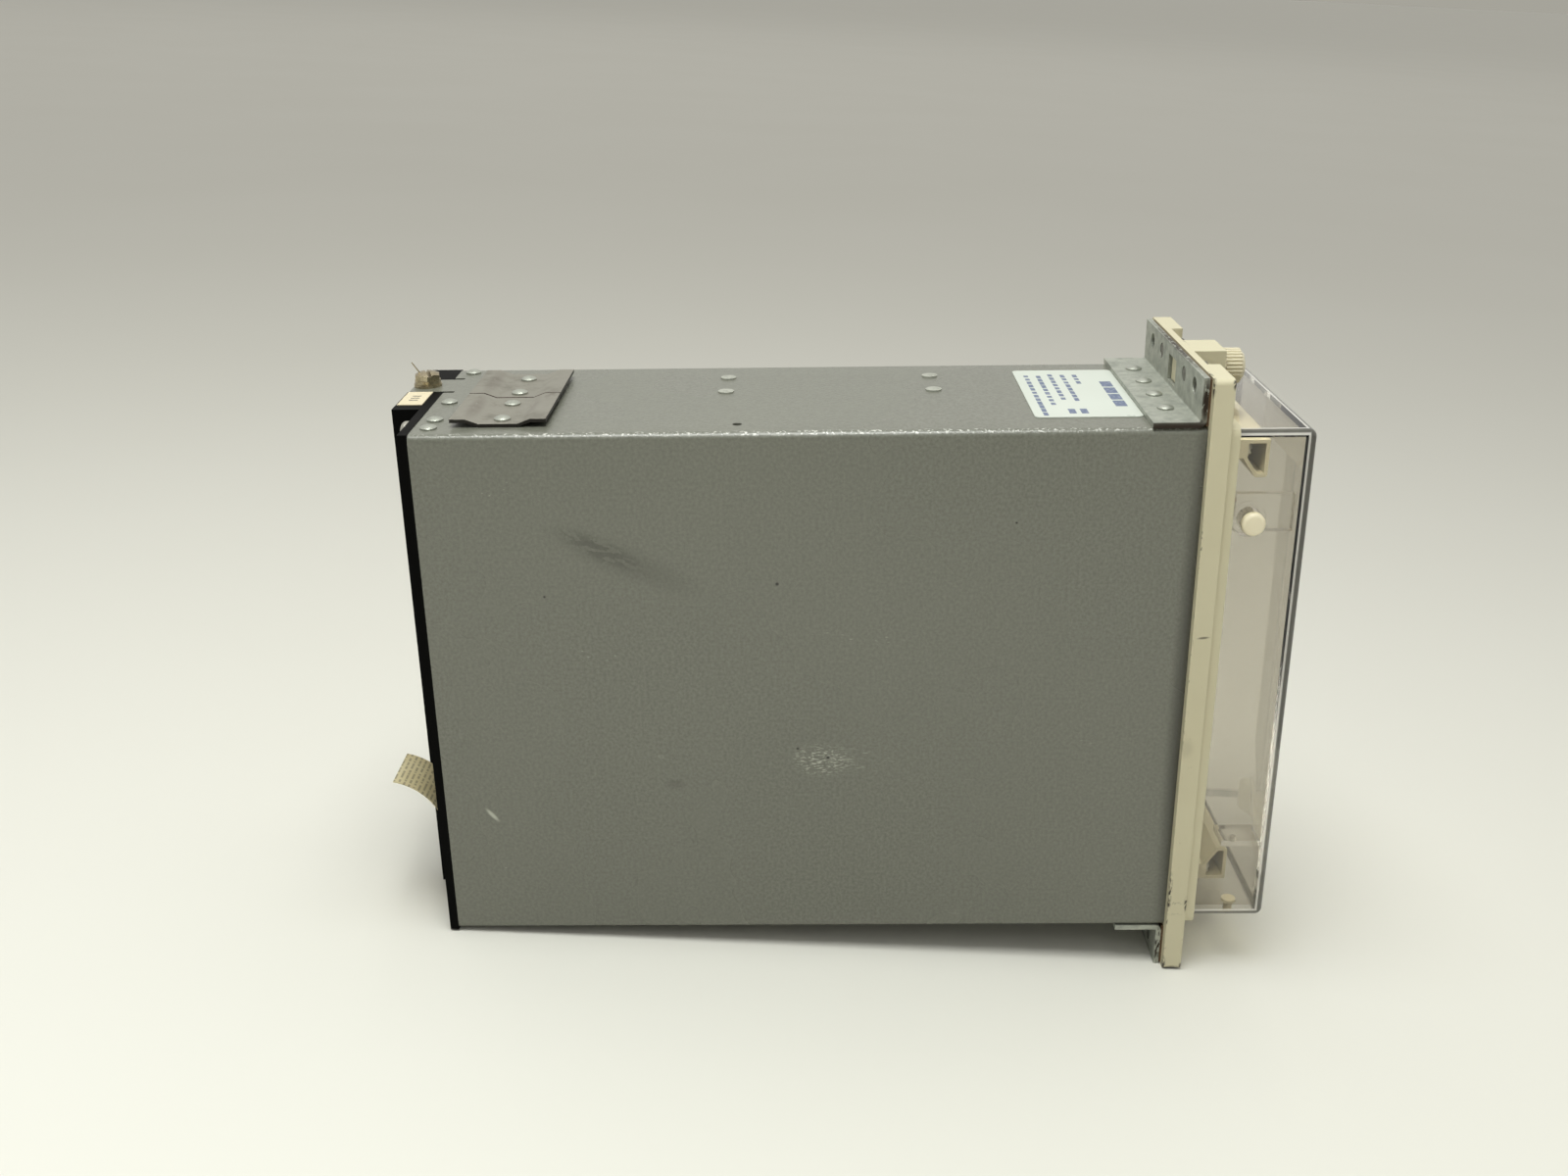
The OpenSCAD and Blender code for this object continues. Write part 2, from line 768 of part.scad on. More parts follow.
// Contact plates, clamp washers and screws, one of each in every pocket
module terminal_plates() {
    half_w = pocket_w / 2 - plate_inset[0];
    half_h = pocket_h / 2 - plate_inset[1];
    color("#b08d4c")
    for (x = col_x, i = [0:rows - 1])
        difference() {
            block(x - half_w, x + half_w, pocket_floor, pocket_floor + plate_thick,
                row_z(i) - half_h, row_z(i) + half_h);
            bar_y(x, row_z(i), term_d + hole_gap, pocket_floor - cut, pocket_floor + plate_thick + cut);
        }
}
module terminal_washers() {
    y0 = pocket_floor + plate_thick;
    side = pocket_h - 2 * washer_inset;
    color("#c3c1b6")
    for (x = col_x, i = [0:rows - 1])
        difference() {
            block(x - side / 2, x + side / 2, y0, y0 + washer_thick,
                row_z(i) - side / 2, row_z(i) + side / 2);
            bar_y(x, row_z(i), term_d + hole_gap, y0 - cut, y0 + washer_thick + cut);
        }
}
module terminal_screws() {
    y0 = pocket_floor + plate_thick + washer_thick;
    color("#c3c1b6")
    for (x = col_x, i = [0:rows - 1])
        translate([x, y0, row_z(i)]) rotate([0, 0, 180])
            pan_screw(term_d, term_head, y0 - term_shank_end);
}

module rear_blank_plate() {
    color("#1b1b19")
    difference() {
        block(blank_x[0], blank_x[1], case_depth, case_depth + blank_t, -blank_z, blank_z);
        both_ends()
            bar_y(blank_screw_x, blank_screw_z, small_screw_d + loose_gap,
                case_depth - cut, case_depth + blank_t + cut);
    }
}

// Folded brackets that the blank plate is screwed to, riveted inside the case
module rear_brackets() {
    foot_z = in_z - rear_bracket_t;
    low = blank_screw_z - rear_bracket_leg;
    color("#9aa19a")
    both_ends()
        difference() {
            union() {
                block(rear_bracket_x[0], rear_bracket_x[1], case_depth - rear_bracket_len, case_depth,
                    foot_z, in_z);
                block(rear_bracket_x[0], rear_bracket_x[1], case_depth - rear_bracket_t, case_depth,
                    low, in_z);
            }
            bar_y(blank_screw_x, blank_screw_z, small_screw_d + hole_gap, case_depth - rear_bracket_t - cut,
                case_depth + cut);
            for (x = rear_rivet_x)
                if (x < block_near) rivet_hole(x, rear_rivet_y, foot_z, in_z);
        }
}
module blank_plate_screws() {
    color("#c3c1b6")
    both_ends()
        translate([blank_screw_x, case_depth + blank_t, blank_screw_z]) rotate([0, 0, 180])
            pan_screw(small_screw_d, blank_head, blank_t + rear_bracket_t + blank_screw_over);
}

// Flat washer on the tongue with a split spring washer on it
module earth_washers() {
    color("#b9ae86")
    translate([tongue_x, earth_y, case_top]) {
        difference() {
            bar_z(0, 0, earth_flat_d, 0, earth_flat_t);
            bar_z(0, 0, earth_d + loose_gap, -cut, earth_flat_t + cut);
        }
        difference() {
            bar_z(0, 0, earth_d + spring_washer_w, earth_flat_t, earth_flat_t + earth_spring_t);
            bar_z(0, 0, earth_d + loose_gap, -cut, earth_flat_t + earth_spring_t + cut);
            rotate(35) block(0, 2 * earth_d, -spring_split / 2, spring_split / 2,
                earth_flat_t, earth_flat_t + earth_spring_t + cut);
        }
    }
}
// Hexagon-head earth screw with a driver slot
module earth_screw() {
    color("#b9a878")
    translate([tongue_x, earth_y, earth_seat]) {
        difference() {
            intersection() {
                rotate(12) cylinder(d = earth_head[0], h = earth_head[1], $fn = 6);
                dome(earth_head[0] + earth_crown[0], earth_head[1] + earth_crown[1]);
            }
            rotate(25) block(-earth_head[0], earth_head[0], -earth_slot[0] / 2, earth_slot[0] / 2,
                earth_head[1] - earth_slot[1], earth_head[1] + cut);
        }
        bar_z(0, 0, earth_d, in_z - earth_len + earth_tip - earth_seat, 0);
    }
}

module top_label() {
    color("#e7e7dc")
    translate([label_mid[0], label_mid[1], case_top])
        linear_extrude(label_t) round_rect(label_w, label_l, label_r);
}
module block_sticker() {
    color("#e4e2d2")
    block(sticker_x[0], sticker_x[1], sticker_y[0], sticker_y[1], block_top, block_top + label_t);
}
// Paper label: stuck to the blank plate at its lower end, curled away above
module peeled_label() {
    y0 = case_depth + blank_t;
    color("#d9d2b4")
    along_x(curl_x[0], curl_x[1]) {
        translate([y0, curl_z - curl_stuck]) square([label_t, curl_stuck]);
        translate([y0 + curl_r, curl_z])
            intersection() {
                difference() {
                    circle(curl_r, $fn = 96);
                    circle(curl_r - label_t, $fn = 96);
                }
                polygon([[0, 0], [-2 * curl_r, 0], [-2 * curl_r, 2 * curl_r],
                    [-2 * curl_r * cos(curl_angle), 2 * curl_r * sin(curl_angle)]]);
            }
    }
}

// Front plate of the draw-out module
module module_front_plate() {
    color("#d3d0c2")
    difference() {
        block(-mod_x, mod_x, plate_face, plate_back, -mod_z, mod_z);
        for (p = lamp_at) bar_y(p[0], p[1], lamp_d + hole_gap, plate_face - cut, plate_back + cut);
        both_ends() {
            bar_y(bracket_screw_x, bracket_z, small_screw_d + loose_gap,
                plate_face - cut, plate_back + cut);
            for (s = [-1, 1])
                bar_y(s * handle_screw_x, handle_screw_z, handle_screw_d + hole_gap,
                    plate_face - cut, plate_back + cut);
        }
    }
}
module nameplate() {
    color("#e2e1d8")
    block(-nameplate_w / 2, nameplate_w / 2, plate_face - label_t, plate_face,
        nameplate_z[0], nameplate_z[1]);
}
module indicator_lamps() {
    color("#a03428")
    for (p = lamp_at)
        translate([p[0], plate_face, p[1]]) {
            bar_y(0, 0, lamp_d, -lamp_collar, plate_t + lamp_tail);
            translate([0, -lamp_collar, 0]) rotate([90, 0, 0]) dome(lamp_d, lamp_d / 2 - touch_gap);
        }
}

// Handle, as the upper one stands: a block on the front plate with a sloping loop in front of it
module handle() {
    front_in = handle_front + handle_wall;
    top_in = handle_top - handle_wall;
    low_in = handle_low + handle_wall;
    seat_low = low_in + handle_slope;
    lean = handle_run / handle_slope;
    foot = handle_seat - handle_run
        + handle_wall * (norm([handle_run, handle_slope]) - handle_run) / handle_slope;
    outline = [[plate_face, handle_top], [handle_front, handle_top],
        [handle_front, handle_low + handle_lip], [handle_front + handle_lip, handle_low],
        [foot, handle_low], [foot + (seat_low - handle_low) * lean, seat_low], [plate_face, seat_low]];
    gap = [[handle_seat, top_in], [front_in, top_in], [front_in, low_in],
        [handle_seat - handle_run, low_in], [handle_seat, seat_low]];
    color("#d9d4bd")
    difference() {
        along_x(-handle_w / 2, handle_w / 2) polygon(outline);
        for (s = [0, 1])
            mirror([s, 0, 0]) along_x(handle_web / 2, handle_w / 2 + cut) polygon(gap);
        for (s = [-1, 1])
            bar_y(s * handle_screw_x, handle_screw_z, handle_screw_d + hole_gap,
                handle_seat - cut, plate_face + cut);
    }
}
module top_handle() {
    handle();
}
module bottom_handle() {
    mirror([0, 0, 1]) handle();
}
module handle_screws() {
    color("#c3c1b6")
    both_ends()
        for (s = [-1, 1])
            translate([s * handle_screw_x, handle_seat, handle_screw_z])
                pan_screw(handle_screw_d, handle_screw_head, plate_back - handle_seat);
}

// Boards, the spacers between them and the brackets that carry them on the front plate
module main_board() {
    color("#3f6b3f")
    difference() {
        block(board_near, board_far, plate_back + board_room, plug_front, -mod_z, mod_z);
        for (p = spacer_at)
            bar_x(p[0], p[1], small_screw_d + loose_gap, board_near - cut, board_far + cut);
        both_ends()
            bar_x(bracket_screw_y, bracket_z, small_screw_d + loose_gap, board_near - cut, board_far + cut);
    }
}
module second_board() {
    color("#3f6b3f")
    difference() {
        block(second_near, second_far, second_y[0], second_y[1], -second_z, second_z);
        for (p = spacer_at)
            bar_x(p[0], p[1], small_screw_d + loose_gap, second_near - cut, second_far + cut);
    }
}
module board_spacers() {
    color("#b08d4c")
    for (p = spacer_at)
        difference() {
            translate([second_far, p[0], p[1]]) rotate([0, 90, 0])
                cylinder(d = spacer_d, h = board_gap, $fn = 6);
            bar_x(p[0], p[1], small_screw_d + hole_gap, second_far - cut, board_near + cut);
        }
}
module board_brackets() {
    color("#9aa19a")
    both_ends()
        difference() {
            union() {
                block(board_far, bracket_x, plate_back, plate_back + bracket_t,
                    bracket_z - bracket_w / 2, bracket_z + bracket_w / 2);
                block(board_far, board_far + bracket_t, plate_back, plate_back + bracket_len,
                    bracket_z - bracket_w / 2, bracket_z + bracket_w / 2);
            }
            bar_y(bracket_screw_x, bracket_z, small_screw_d + hole_gap,
                plate_back - cut, plate_back + bracket_t + cut);
            bar_x(bracket_screw_y, bracket_z, small_screw_d + hole_gap,
                board_far - cut, board_far + bracket_t + cut);
        }
}
module module_screws() {
    color("#c3c1b6") {
        both_ends() {
            translate([bracket_screw_x, plate_face, bracket_z])
                pan_screw(small_screw_d, small_head, plate_t + bracket_t + screw_over);
            translate([board_far + bracket_t, bracket_screw_y, bracket_z]) rotate([0, 0, 90])
                pan_screw(small_screw_d, small_head, bracket_t + board_t + screw_over);
        }
        for (p = spacer_at) {
            translate([board_far, p[0], p[1]]) rotate([0, 0, 90])
                pan_screw(small_screw_d, small_head, board_t + spacer_screw);
            translate([second_near, p[0], p[1]]) rotate([0, 0, -90])
                pan_screw(small_screw_d, small_head, board_t + spacer_screw);
        }
    }
}

// Input transformer: a laminated shell core with its coil on the middle leg
module transformer_core() {
    x1 = board_near - (coil_depth - core_stack) / 2;
    window_w = (core_w - 4 * core_leg) / 2;
    color("#6a6d70")
    translate([x1 - core_stack, core_at[0], core_at[1]])
        difference() {
            block(0, core_stack, -core_w / 2, core_w / 2, -core_h / 2, core_h / 2);
            for (s = [-1, 1])
                translate([0, s * (core_leg + window_w / 2), 0])
                    block(-cut, core_stack + cut, -window_w / 2, window_w / 2,
                        -core_h / 2 + core_leg, core_h / 2 - core_leg);
        }
}
module transformer_coil() {
    half_w = core_w / 2 - core_leg - coil_clear;
    half_h = core_h / 2 - core_leg - coil_clear;
    leg_w = core_leg + coil_clear;
    leg_x = core_stack / 2 + coil_clear;
    color("#a8742f")
    translate([board_near - coil_depth / 2, core_at[0], core_at[1]])
        difference() {
            block(-coil_depth / 2, coil_depth / 2, -half_w, half_w, -half_h, half_h);
            block(-leg_x, leg_x, -leg_w, leg_w, -half_h - cut, half_h + cut);
        }
}
module output_relays() {
    color("#e0ddd0")
    for (z = relay_z)
        block(board_near - relay_size[0], board_near, relay_y, relay_y + relay_size[1],
            z, z + relay_size[2]);
}
module capacitors() {
    color("#2b3f66")
    for (p = can_at) bar_x(p[0], p[1], can_d, board_near - can_len, board_near);
}

// Plug at the module's rear, with a blade for every terminal
module plug_block() {
    color("#1b1b19")
    block(plug_x[0], plug_x[1], plug_front, plug_back, -plug_z, plug_z);
}
module plug_contacts() {
    color("#c9bd92")
    for (x = blade_x, i = [0:rows - 1])
        block(x - blade_t / 2, x + blade_t / 2, plug_back, blade_end,
            row_z(i) - blade_h / 2, row_z(i) + blade_h / 2);
}

// Outer form of the cover, rounded along its front edges and its corners
module cover_form() {
    flat_x = cover_x - cover_r;
    flat_z = cover_z - cover_r;
    turn_y = cover_front + cover_r;
    along_y(turn_y, cover_back) round_rect(2 * cover_x, 2 * cover_z, cover_r);
    block(-flat_x, flat_x, cover_front, turn_y, -flat_z, flat_z);
    for (s = [-1, 1]) {
        bar_x(turn_y, s * flat_z, 2 * cover_r, -flat_x, flat_x);
        bar_z(s * flat_x, turn_y, 2 * cover_r, -flat_z, flat_z);
        for (t = [-1, 1]) translate([s * flat_x, turn_y, t * flat_z]) sphere(cover_r);
    }
}
// Clear cover with knob lugs, and with the button's cup, its pad and a ledge on the near wall
module cover() {
    color([0.85, 0.87, 0.85, 0.35])
    difference() {
        union() {
            difference() {
                union() {
                    translate([0, 0, rim_up]) cover_form();
                    both_ends() block(-lug_w / 2, lug_w / 2, lug_front, lug_back, -cover_in_low, lug_top);
                }
                translate([0, 0, rim_up])
                    block(-cover_in_x, cover_in_x, cover_in_y, cover_back + cut, -cover_in_z, cover_in_z);
            }
            bar_x(button_y, button_z, 2 * cup_r, -cover_x + cut, cup_end);
            block(-cover_x + cut, -cover_in_x + pad_t, pad_y[0], pad_y[1], pad_z[0], pad_z[1]);
            block(-cover_x + cut, shelf_x, cover_in_y - cut, shelf_back, shelf_z[0], shelf_z[1]);
        }
        both_ends() bar_y(0, knob_z, stud_d + loose_gap, lug_front - cut, lug_back + cut);
        bar_x(button_y, button_z, cup_bore_d, -cover_x - cut, cup_end - cup_floor_t);
        bar_x(button_y, button_z, stem_d + loose_gap, -cover_x - cut, cup_end + cut);
        bar_z(plug_at[0], plug_at[1], plug_d + hole_gap, cover_low - cut, cover_in_low + cut);
        bar_z(shelf_hole[0], shelf_hole[1], shelf_hole_d, shelf_z[0] - cut, shelf_z[1] + cut);
    }
}
module cover_plug() {
    color("#e2dcc0")
    translate([plug_at[0], plug_at[1], 0]) {
        bar_z(0, 0, plug_d, cover_low - plug_proud, cover_in_low);
        bar_z(0, 0, plug_head[0], cover_in_low, cover_in_low + plug_head[1]);
    }
}

// Ridged knob, as the upper one stands, with a blind hole for its stud
module thumb_knob() {
    body_r = knob_d / 2 - ridge_h;
    step = 360 / knob_ridges;
    outline = [for (i = [0:knob_ridges - 1], k = [0:3])
        let (r = k == 0 || k == 3 ? body_r : knob_d / 2, a = step * (i + ridge_turn[k]))
        [r * cos(a), r * sin(a)]];
    color("#d9d4bd")
    translate([0, 0, knob_z])
        difference() {
            union() {
                along_y(knob_front + knob_nose, knob_back - knob_collar) polygon(outline);
                bar_y(0, 0, 2 * body_r, knob_back - knob_collar, knob_back);
                translate([0, knob_front + knob_nose, 0]) rotate([90, 0, 0])
                    cylinder(r1 = body_r, r2 = body_r - knob_nose, h = knob_nose);
            }
            bar_y(0, 0, stud_d + 2 * touch_gap, stud_start, knob_back + cut);
        }
}
module thumb_stud() {
    color("#b9b6a8")
    bar_y(0, knob_z, stud_d, stud_start, stud_end);
}
module upper_thumb_knob() {
    thumb_knob();
}
module upper_thumb_stud() {
    thumb_stud();
}
module lower_thumb_knob() {
    mirror([0, 0, 1]) thumb_knob();
}
module lower_thumb_stud() {
    mirror([0, 0, 1]) thumb_stud();
}

// Push button: a cap in the cup's bore and a stem through the cup's floor
module reset_button() {
    color("#e2dcc0")
    translate([cap_face, button_y, button_z]) rotate([0, 90, 0]) {
        cylinder(d1 = button_d - 2 * cap_edge, d2 = button_d, h = cap_edge);
        translate([0, 0, cap_edge]) cylinder(d = button_d, h = cap_len - cap_edge);
        translate([0, 0, cap_len]) cylinder(d = stem_d, h = stem_end - cap_face - cap_len);
    }
}
// Coil of round wire along X
module button_spring() {
    x0 = cap_face + cap_len + spring_wire / 2;
    x1 = cup_end - cup_floor_t - spring_wire / 2;
    steps = 18 * spring_turns;
    sides = 8;
    points = [for (i = [0:steps], k = [0:sides - 1])
        let (a = 360 * spring_turns * i / steps, b = 360 * k / sides,
            r = spring_r + spring_wire / 2 * cos(b))
        [x0 + (x1 - x0) * i / steps + spring_wire / 2 * sin(b),
            button_y + r * cos(a), button_z + r * sin(a)]];
    walls = [for (i = [0:steps - 1], k = [0:sides - 1])
        let (n = (k + 1) % sides)
        [i * sides + k, i * sides + n, (i + 1) * sides + n, (i + 1) * sides + k]];
    ends = [[for (k = [sides - 1:-1:0]) k], [for (k = [0:sides - 1]) steps * sides + k]];
    color("#a9a9a2")
    polyhedron(points, concat(walls, ends));
}
module button_clip() {
    x0 = cup_end + slide_gap;
    color("#d8d5c9")
    difference() {
        bar_x(button_y, button_z, clip_ring_d, x0, x0 + clip_ring_t);
        bar_x(button_y, button_z, stem_d + 2 * touch_gap, x0 - cut, x0 + clip_ring_t + cut);
    }
}

case_shell();
top_mounting_angle();
bottom_mounting_angle();
angle_rivets();
frame_seal();
front_frame();
frame_screws();
near_clip_plate();
far_clip_plate();
clip_rivets();
guide_rivets();
rear_rivets();
upper_guide_rail();
lower_guide_rail();
terminal_block();
terminal_plates();
terminal_washers();
terminal_screws();
rear_blank_plate();
rear_brackets();
blank_plate_screws();
earth_washers();
earth_screw();
top_label();
block_sticker();
peeled_label();
module_front_plate();
nameplate();
indicator_lamps();
top_handle();
bottom_handle();
handle_screws();
main_board();
second_board();
board_spacers();
board_brackets();
module_screws();
transformer_core();
transformer_coil();
output_relays();
capacitors();
plug_block();
plug_contacts();
cover();
cover_plug();
upper_thumb_knob();
upper_thumb_stud();
lower_thumb_knob();
lower_thumb_stud();
reset_button();
button_spring();
button_clip();
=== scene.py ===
"""Looks of a draw-out protection relay: finishes, softened edges, print, board parts and the studio."""
import json
import logging
import math
from dataclasses import dataclass
from enum import Enum
from typing import Any, Optional, Protocol, Union

import bmesh
import bpy
from mathutils import Matrix, Vector

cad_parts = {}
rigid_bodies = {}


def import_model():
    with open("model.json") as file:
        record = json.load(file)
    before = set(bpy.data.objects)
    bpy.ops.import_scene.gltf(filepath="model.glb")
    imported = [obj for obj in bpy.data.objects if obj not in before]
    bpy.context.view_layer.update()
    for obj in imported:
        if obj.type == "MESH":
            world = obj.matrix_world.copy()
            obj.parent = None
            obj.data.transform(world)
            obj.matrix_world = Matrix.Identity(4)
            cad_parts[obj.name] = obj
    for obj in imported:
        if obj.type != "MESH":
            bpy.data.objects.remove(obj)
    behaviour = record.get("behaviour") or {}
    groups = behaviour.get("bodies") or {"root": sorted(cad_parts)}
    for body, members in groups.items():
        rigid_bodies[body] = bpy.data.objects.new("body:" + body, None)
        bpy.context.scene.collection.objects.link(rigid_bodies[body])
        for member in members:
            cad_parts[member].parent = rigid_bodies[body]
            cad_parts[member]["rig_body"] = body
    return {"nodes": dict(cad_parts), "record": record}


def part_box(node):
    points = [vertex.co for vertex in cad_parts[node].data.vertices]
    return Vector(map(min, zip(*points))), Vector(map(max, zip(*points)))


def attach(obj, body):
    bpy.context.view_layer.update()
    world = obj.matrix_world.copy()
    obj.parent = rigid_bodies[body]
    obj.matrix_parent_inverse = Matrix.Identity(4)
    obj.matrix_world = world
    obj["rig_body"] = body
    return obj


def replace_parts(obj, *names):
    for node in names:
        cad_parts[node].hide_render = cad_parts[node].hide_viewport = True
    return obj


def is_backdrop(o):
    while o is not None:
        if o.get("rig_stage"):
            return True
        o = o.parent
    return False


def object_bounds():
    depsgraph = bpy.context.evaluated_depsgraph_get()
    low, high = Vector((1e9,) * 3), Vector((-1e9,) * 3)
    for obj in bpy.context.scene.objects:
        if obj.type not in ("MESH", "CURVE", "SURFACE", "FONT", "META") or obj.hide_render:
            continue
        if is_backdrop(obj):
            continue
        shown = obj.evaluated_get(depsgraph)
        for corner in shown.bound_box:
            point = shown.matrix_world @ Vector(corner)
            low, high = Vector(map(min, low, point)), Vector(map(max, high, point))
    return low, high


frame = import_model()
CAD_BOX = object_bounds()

LOG = logging.getLogger("protection_relay")
MM = 0.001

# Sockets of the Mix node when it mixes colours, and when it mixes values
FACTOR, UNDER, OVER, MIXED = 0, 6, 7, 2
FIRST, SECOND = 2, 3
# Sockets of the Random Value node when it draws values
SHORTEST, LONGEST, DRAWN = 2, 3, 1

Socket = bpy.types.NodeSocket
Value = Union[float, bpy.types.Node, Socket]
Triple = tuple[float, float, float]
Pair = tuple[float, float]


class Body(str, Enum):
    """Bodies of the relay that an added piece can ride on."""

    CASE = "case"
    MODULE = "module"


def linear(code: str) -> tuple[float, float, float, float]:
    """Turns an sRGB hex colour into linear light.

    Args:
        code: Colour such as "#7b7c6e".

    Returns:
        Red, green, blue and an alpha of 1.
    """
    channels = [int(code[i:i + 2], 16) / 255 for i in (1, 3, 5)]
    red, green, blue = (c / 12.92 if c <= 0.04045 else ((c + 0.055) / 1.055) ** 2.4 for c in channels)
    return red, green, blue, 1.0


def per_mm(size: float) -> float:
    """Texture scale at which a feature is about that many millimetres wide."""
    return 1.0 / (size * MM)


def metres(*values: float) -> Vector:
    """Turns millimetres into a vector in metres."""
    return Vector(values) * MM


def add(tree: bpy.types.NodeTree, kind: str, inputs: Optional[dict] = None,
        **settings: Any) -> bpy.types.Node:
    """Adds one node with its settings and links.

    Args:
        tree: Tree that gets the node.
        kind: Blender's name of the node type.
        inputs: Input name or number to a constant, a socket or a node, whose first output is then linked.
        settings: Attributes of the node.

    Returns:
        The new node.
    """
    node = tree.nodes.new(kind)
    for key, value in settings.items():
        setattr(node, key, value)
    for key, value in (inputs or {}).items():
        source = value.outputs[0] if isinstance(value, bpy.types.Node) else value
        if isinstance(source, Socket):
            tree.links.new(source, node.inputs[key])
        else:
            node.inputs[key].default_value = source
    return node


class Shader:
    """A material's tree around its Principled shader."""

    def __init__(self, name: str) -> None:
        """Starts a material.

        Args:
            name: Name of the material.
        """
        self.material = bpy.data.materials.new(name)
        self.material.use_nodes = True
        self.tree = self.material.node_tree
        self.surface = self.tree.nodes["Principled BSDF"]
        self.output = self.tree.nodes["Material Output"]
        self.place = self.add("ShaderNodeTexCoord").outputs["Object"]

    def add(self, kind: str, inputs: Optional[dict] = None, **settings: Any) -> bpy.types.Node:
        """Adds a node to this material's tree."""
        return add(self.tree, kind, inputs, **settings)

    def math(self, operation: str, *values: Value) -> bpy.types.Node:
        """Adds a Math node on one or two values."""
        return self.add("ShaderNodeMath", dict(enumerate(values)), operation=operation)

    def noise(self, scale: float, detail: float, at: Optional[Value] = None,
              **inputs: float) -> bpy.types.Node:
        """Adds noise.

        Args:
            scale: Scale of the noise.
            detail: Number of finer layers in it.
            at: Where it is read, or none for the relay's own frame.
            inputs: Other inputs of the node.

        Returns:
            The noise node.
        """
        place = self.place if at is None else at
        return self.add("ShaderNodeTexNoise", {"Vector": place, "Scale": scale, "Detail": detail, **inputs})

    def remap(self, value: Value, start: float, end: float, low: float = 0.0, high: float = 1.0,
              smooth: bool = False) -> bpy.types.Node:
        """Carries a value from one range to another and clamps it there.

        Args:
            value: The value.
            start: Value that becomes low.
            end: Value that becomes high.
            low: Result at the start.
            high: Result at the end.
            smooth: Whether both ends ease in.

        Returns:
            The Map Range node.
        """
        ends = {"Value": value, "From Min": start, "From Max": end, "To Min": low, "To Max": high}
        return self.add("ShaderNodeMapRange", ends, interpolation_type="SMOOTHSTEP" if smooth else "LINEAR")

    def blend(self, share: Value, under: Union[str, Socket], over: Union[str, Socket]) -> Socket:
        """Mixes two colours.

        Args:
            share: Share of the second colour.
            under: First colour, as a hex code or a socket.
            over: Second colour, as a hex code or a socket.

        Returns:
            The mixed colour.
        """
        first, second = (linear(c) if isinstance(c, str) else c for c in (under, over))
        mix = self.add("ShaderNodeMix", {FACTOR: share, UNDER: first, OVER: second}, data_type="RGBA")
        return mix.outputs[MIXED]

    def bump(self, height: Value, strength: float, depth_mm: float) -> bpy.types.Node:
        """Adds a bump of that depth in millimetres."""
        return self.add("ShaderNodeBump", {"Strength": strength, "Distance": depth_mm * MM, "Height": height})

    def finish(self, **sockets: Any) -> bpy.types.Material:
        """Sets or links the shader's sockets.

        Args:
            sockets: Socket names with spaces as underscores, each with a constant, a node or a socket.

        Returns:
            The finished material.
        """
        for key, value in sockets.items():
            socket = self.surface.inputs[key.replace("_", " ")]
            source = value.outputs[0] if isinstance(value, bpy.types.Node) else value
            if isinstance(source, Socket):
                self.tree.links.new(source, socket)
            else:
                socket.default_value = source
        return self.material


class Finish(Protocol):
    """Anything that makes a material."""

    name: str

    def make(self) -> bpy.types.Material:
        """Builds the material."""


_MADE: dict[str, bpy.types.Material] = {}


def material_of(finish: Finish) -> bpy.types.Material:
    """Gives a finish's material and builds it once only."""
    if finish.name not in _MADE:
        _MADE[finish.name] = finish.make()
    return _MADE[finish.name]


@dataclass(frozen=True)
class Spot:
    """A worn or dirty place on a surface, or a place of painted shade or highlight, in millimetres of the
    relay's frame.

    The grain says how many streaks or crumbs the spot has along X, Y and Z, and cover what share of
    it they fill. A spot with no grain is an even, soft patch.
    """

    centre: Triple
    reach: Triple
    turn: float = 0.0
    grain: Optional[Triple] = None
    cover: float = 0.5
    strength: float = 1.0

    def mask(self, shader: Shader) -> Socket:
        """Builds the spot's mask in a material.

        Args:
            shader: The material's tree.

        Returns:
            A value from 0 outside the spot to the spot's strength in it.
        """
        local = shader.add(
            "ShaderNodeMapping",
            {"Vector": shader.place, "Location": metres(*self.centre),
             "Rotation": (math.radians(self.turn), 0, 0), "Scale": metres(*self.reach)},
            vector_type="TEXTURE")
        away = shader.add("ShaderNodeVectorMath", {0: local}, operation="LENGTH")
        fall = shader.remap(away.outputs["Value"], 1.0, 0.25, high=self.strength, smooth=True)
        if self.grain is None:
            return fall.outputs[0]
        stretched = shader.add("ShaderNodeMapping", {"Vector": local, "Scale": self.grain})
        edge = 0.72 - 0.42 * self.cover
        kept = shader.remap(shader.noise(1.0, 4.0, at=stretched), edge, edge + 0.07, smooth=True)
        return shader.math("MULTIPLY", fall, kept).outputs[0]


def masks(shader: Shader, spots: tuple[Spot, ...]) -> Socket:
    """Joins the masks of several spots.

    Args:
        shader: The material's tree.
        spots: At least one spot.

    Returns:
        The highest of the spots' masks at each place.
    """
    highest = spots[0].mask(shader)
    for spot in spots[1:]:
        highest = shader.math("MAXIMUM", highest, spot.mask(shader)).outputs[0]
    return highest


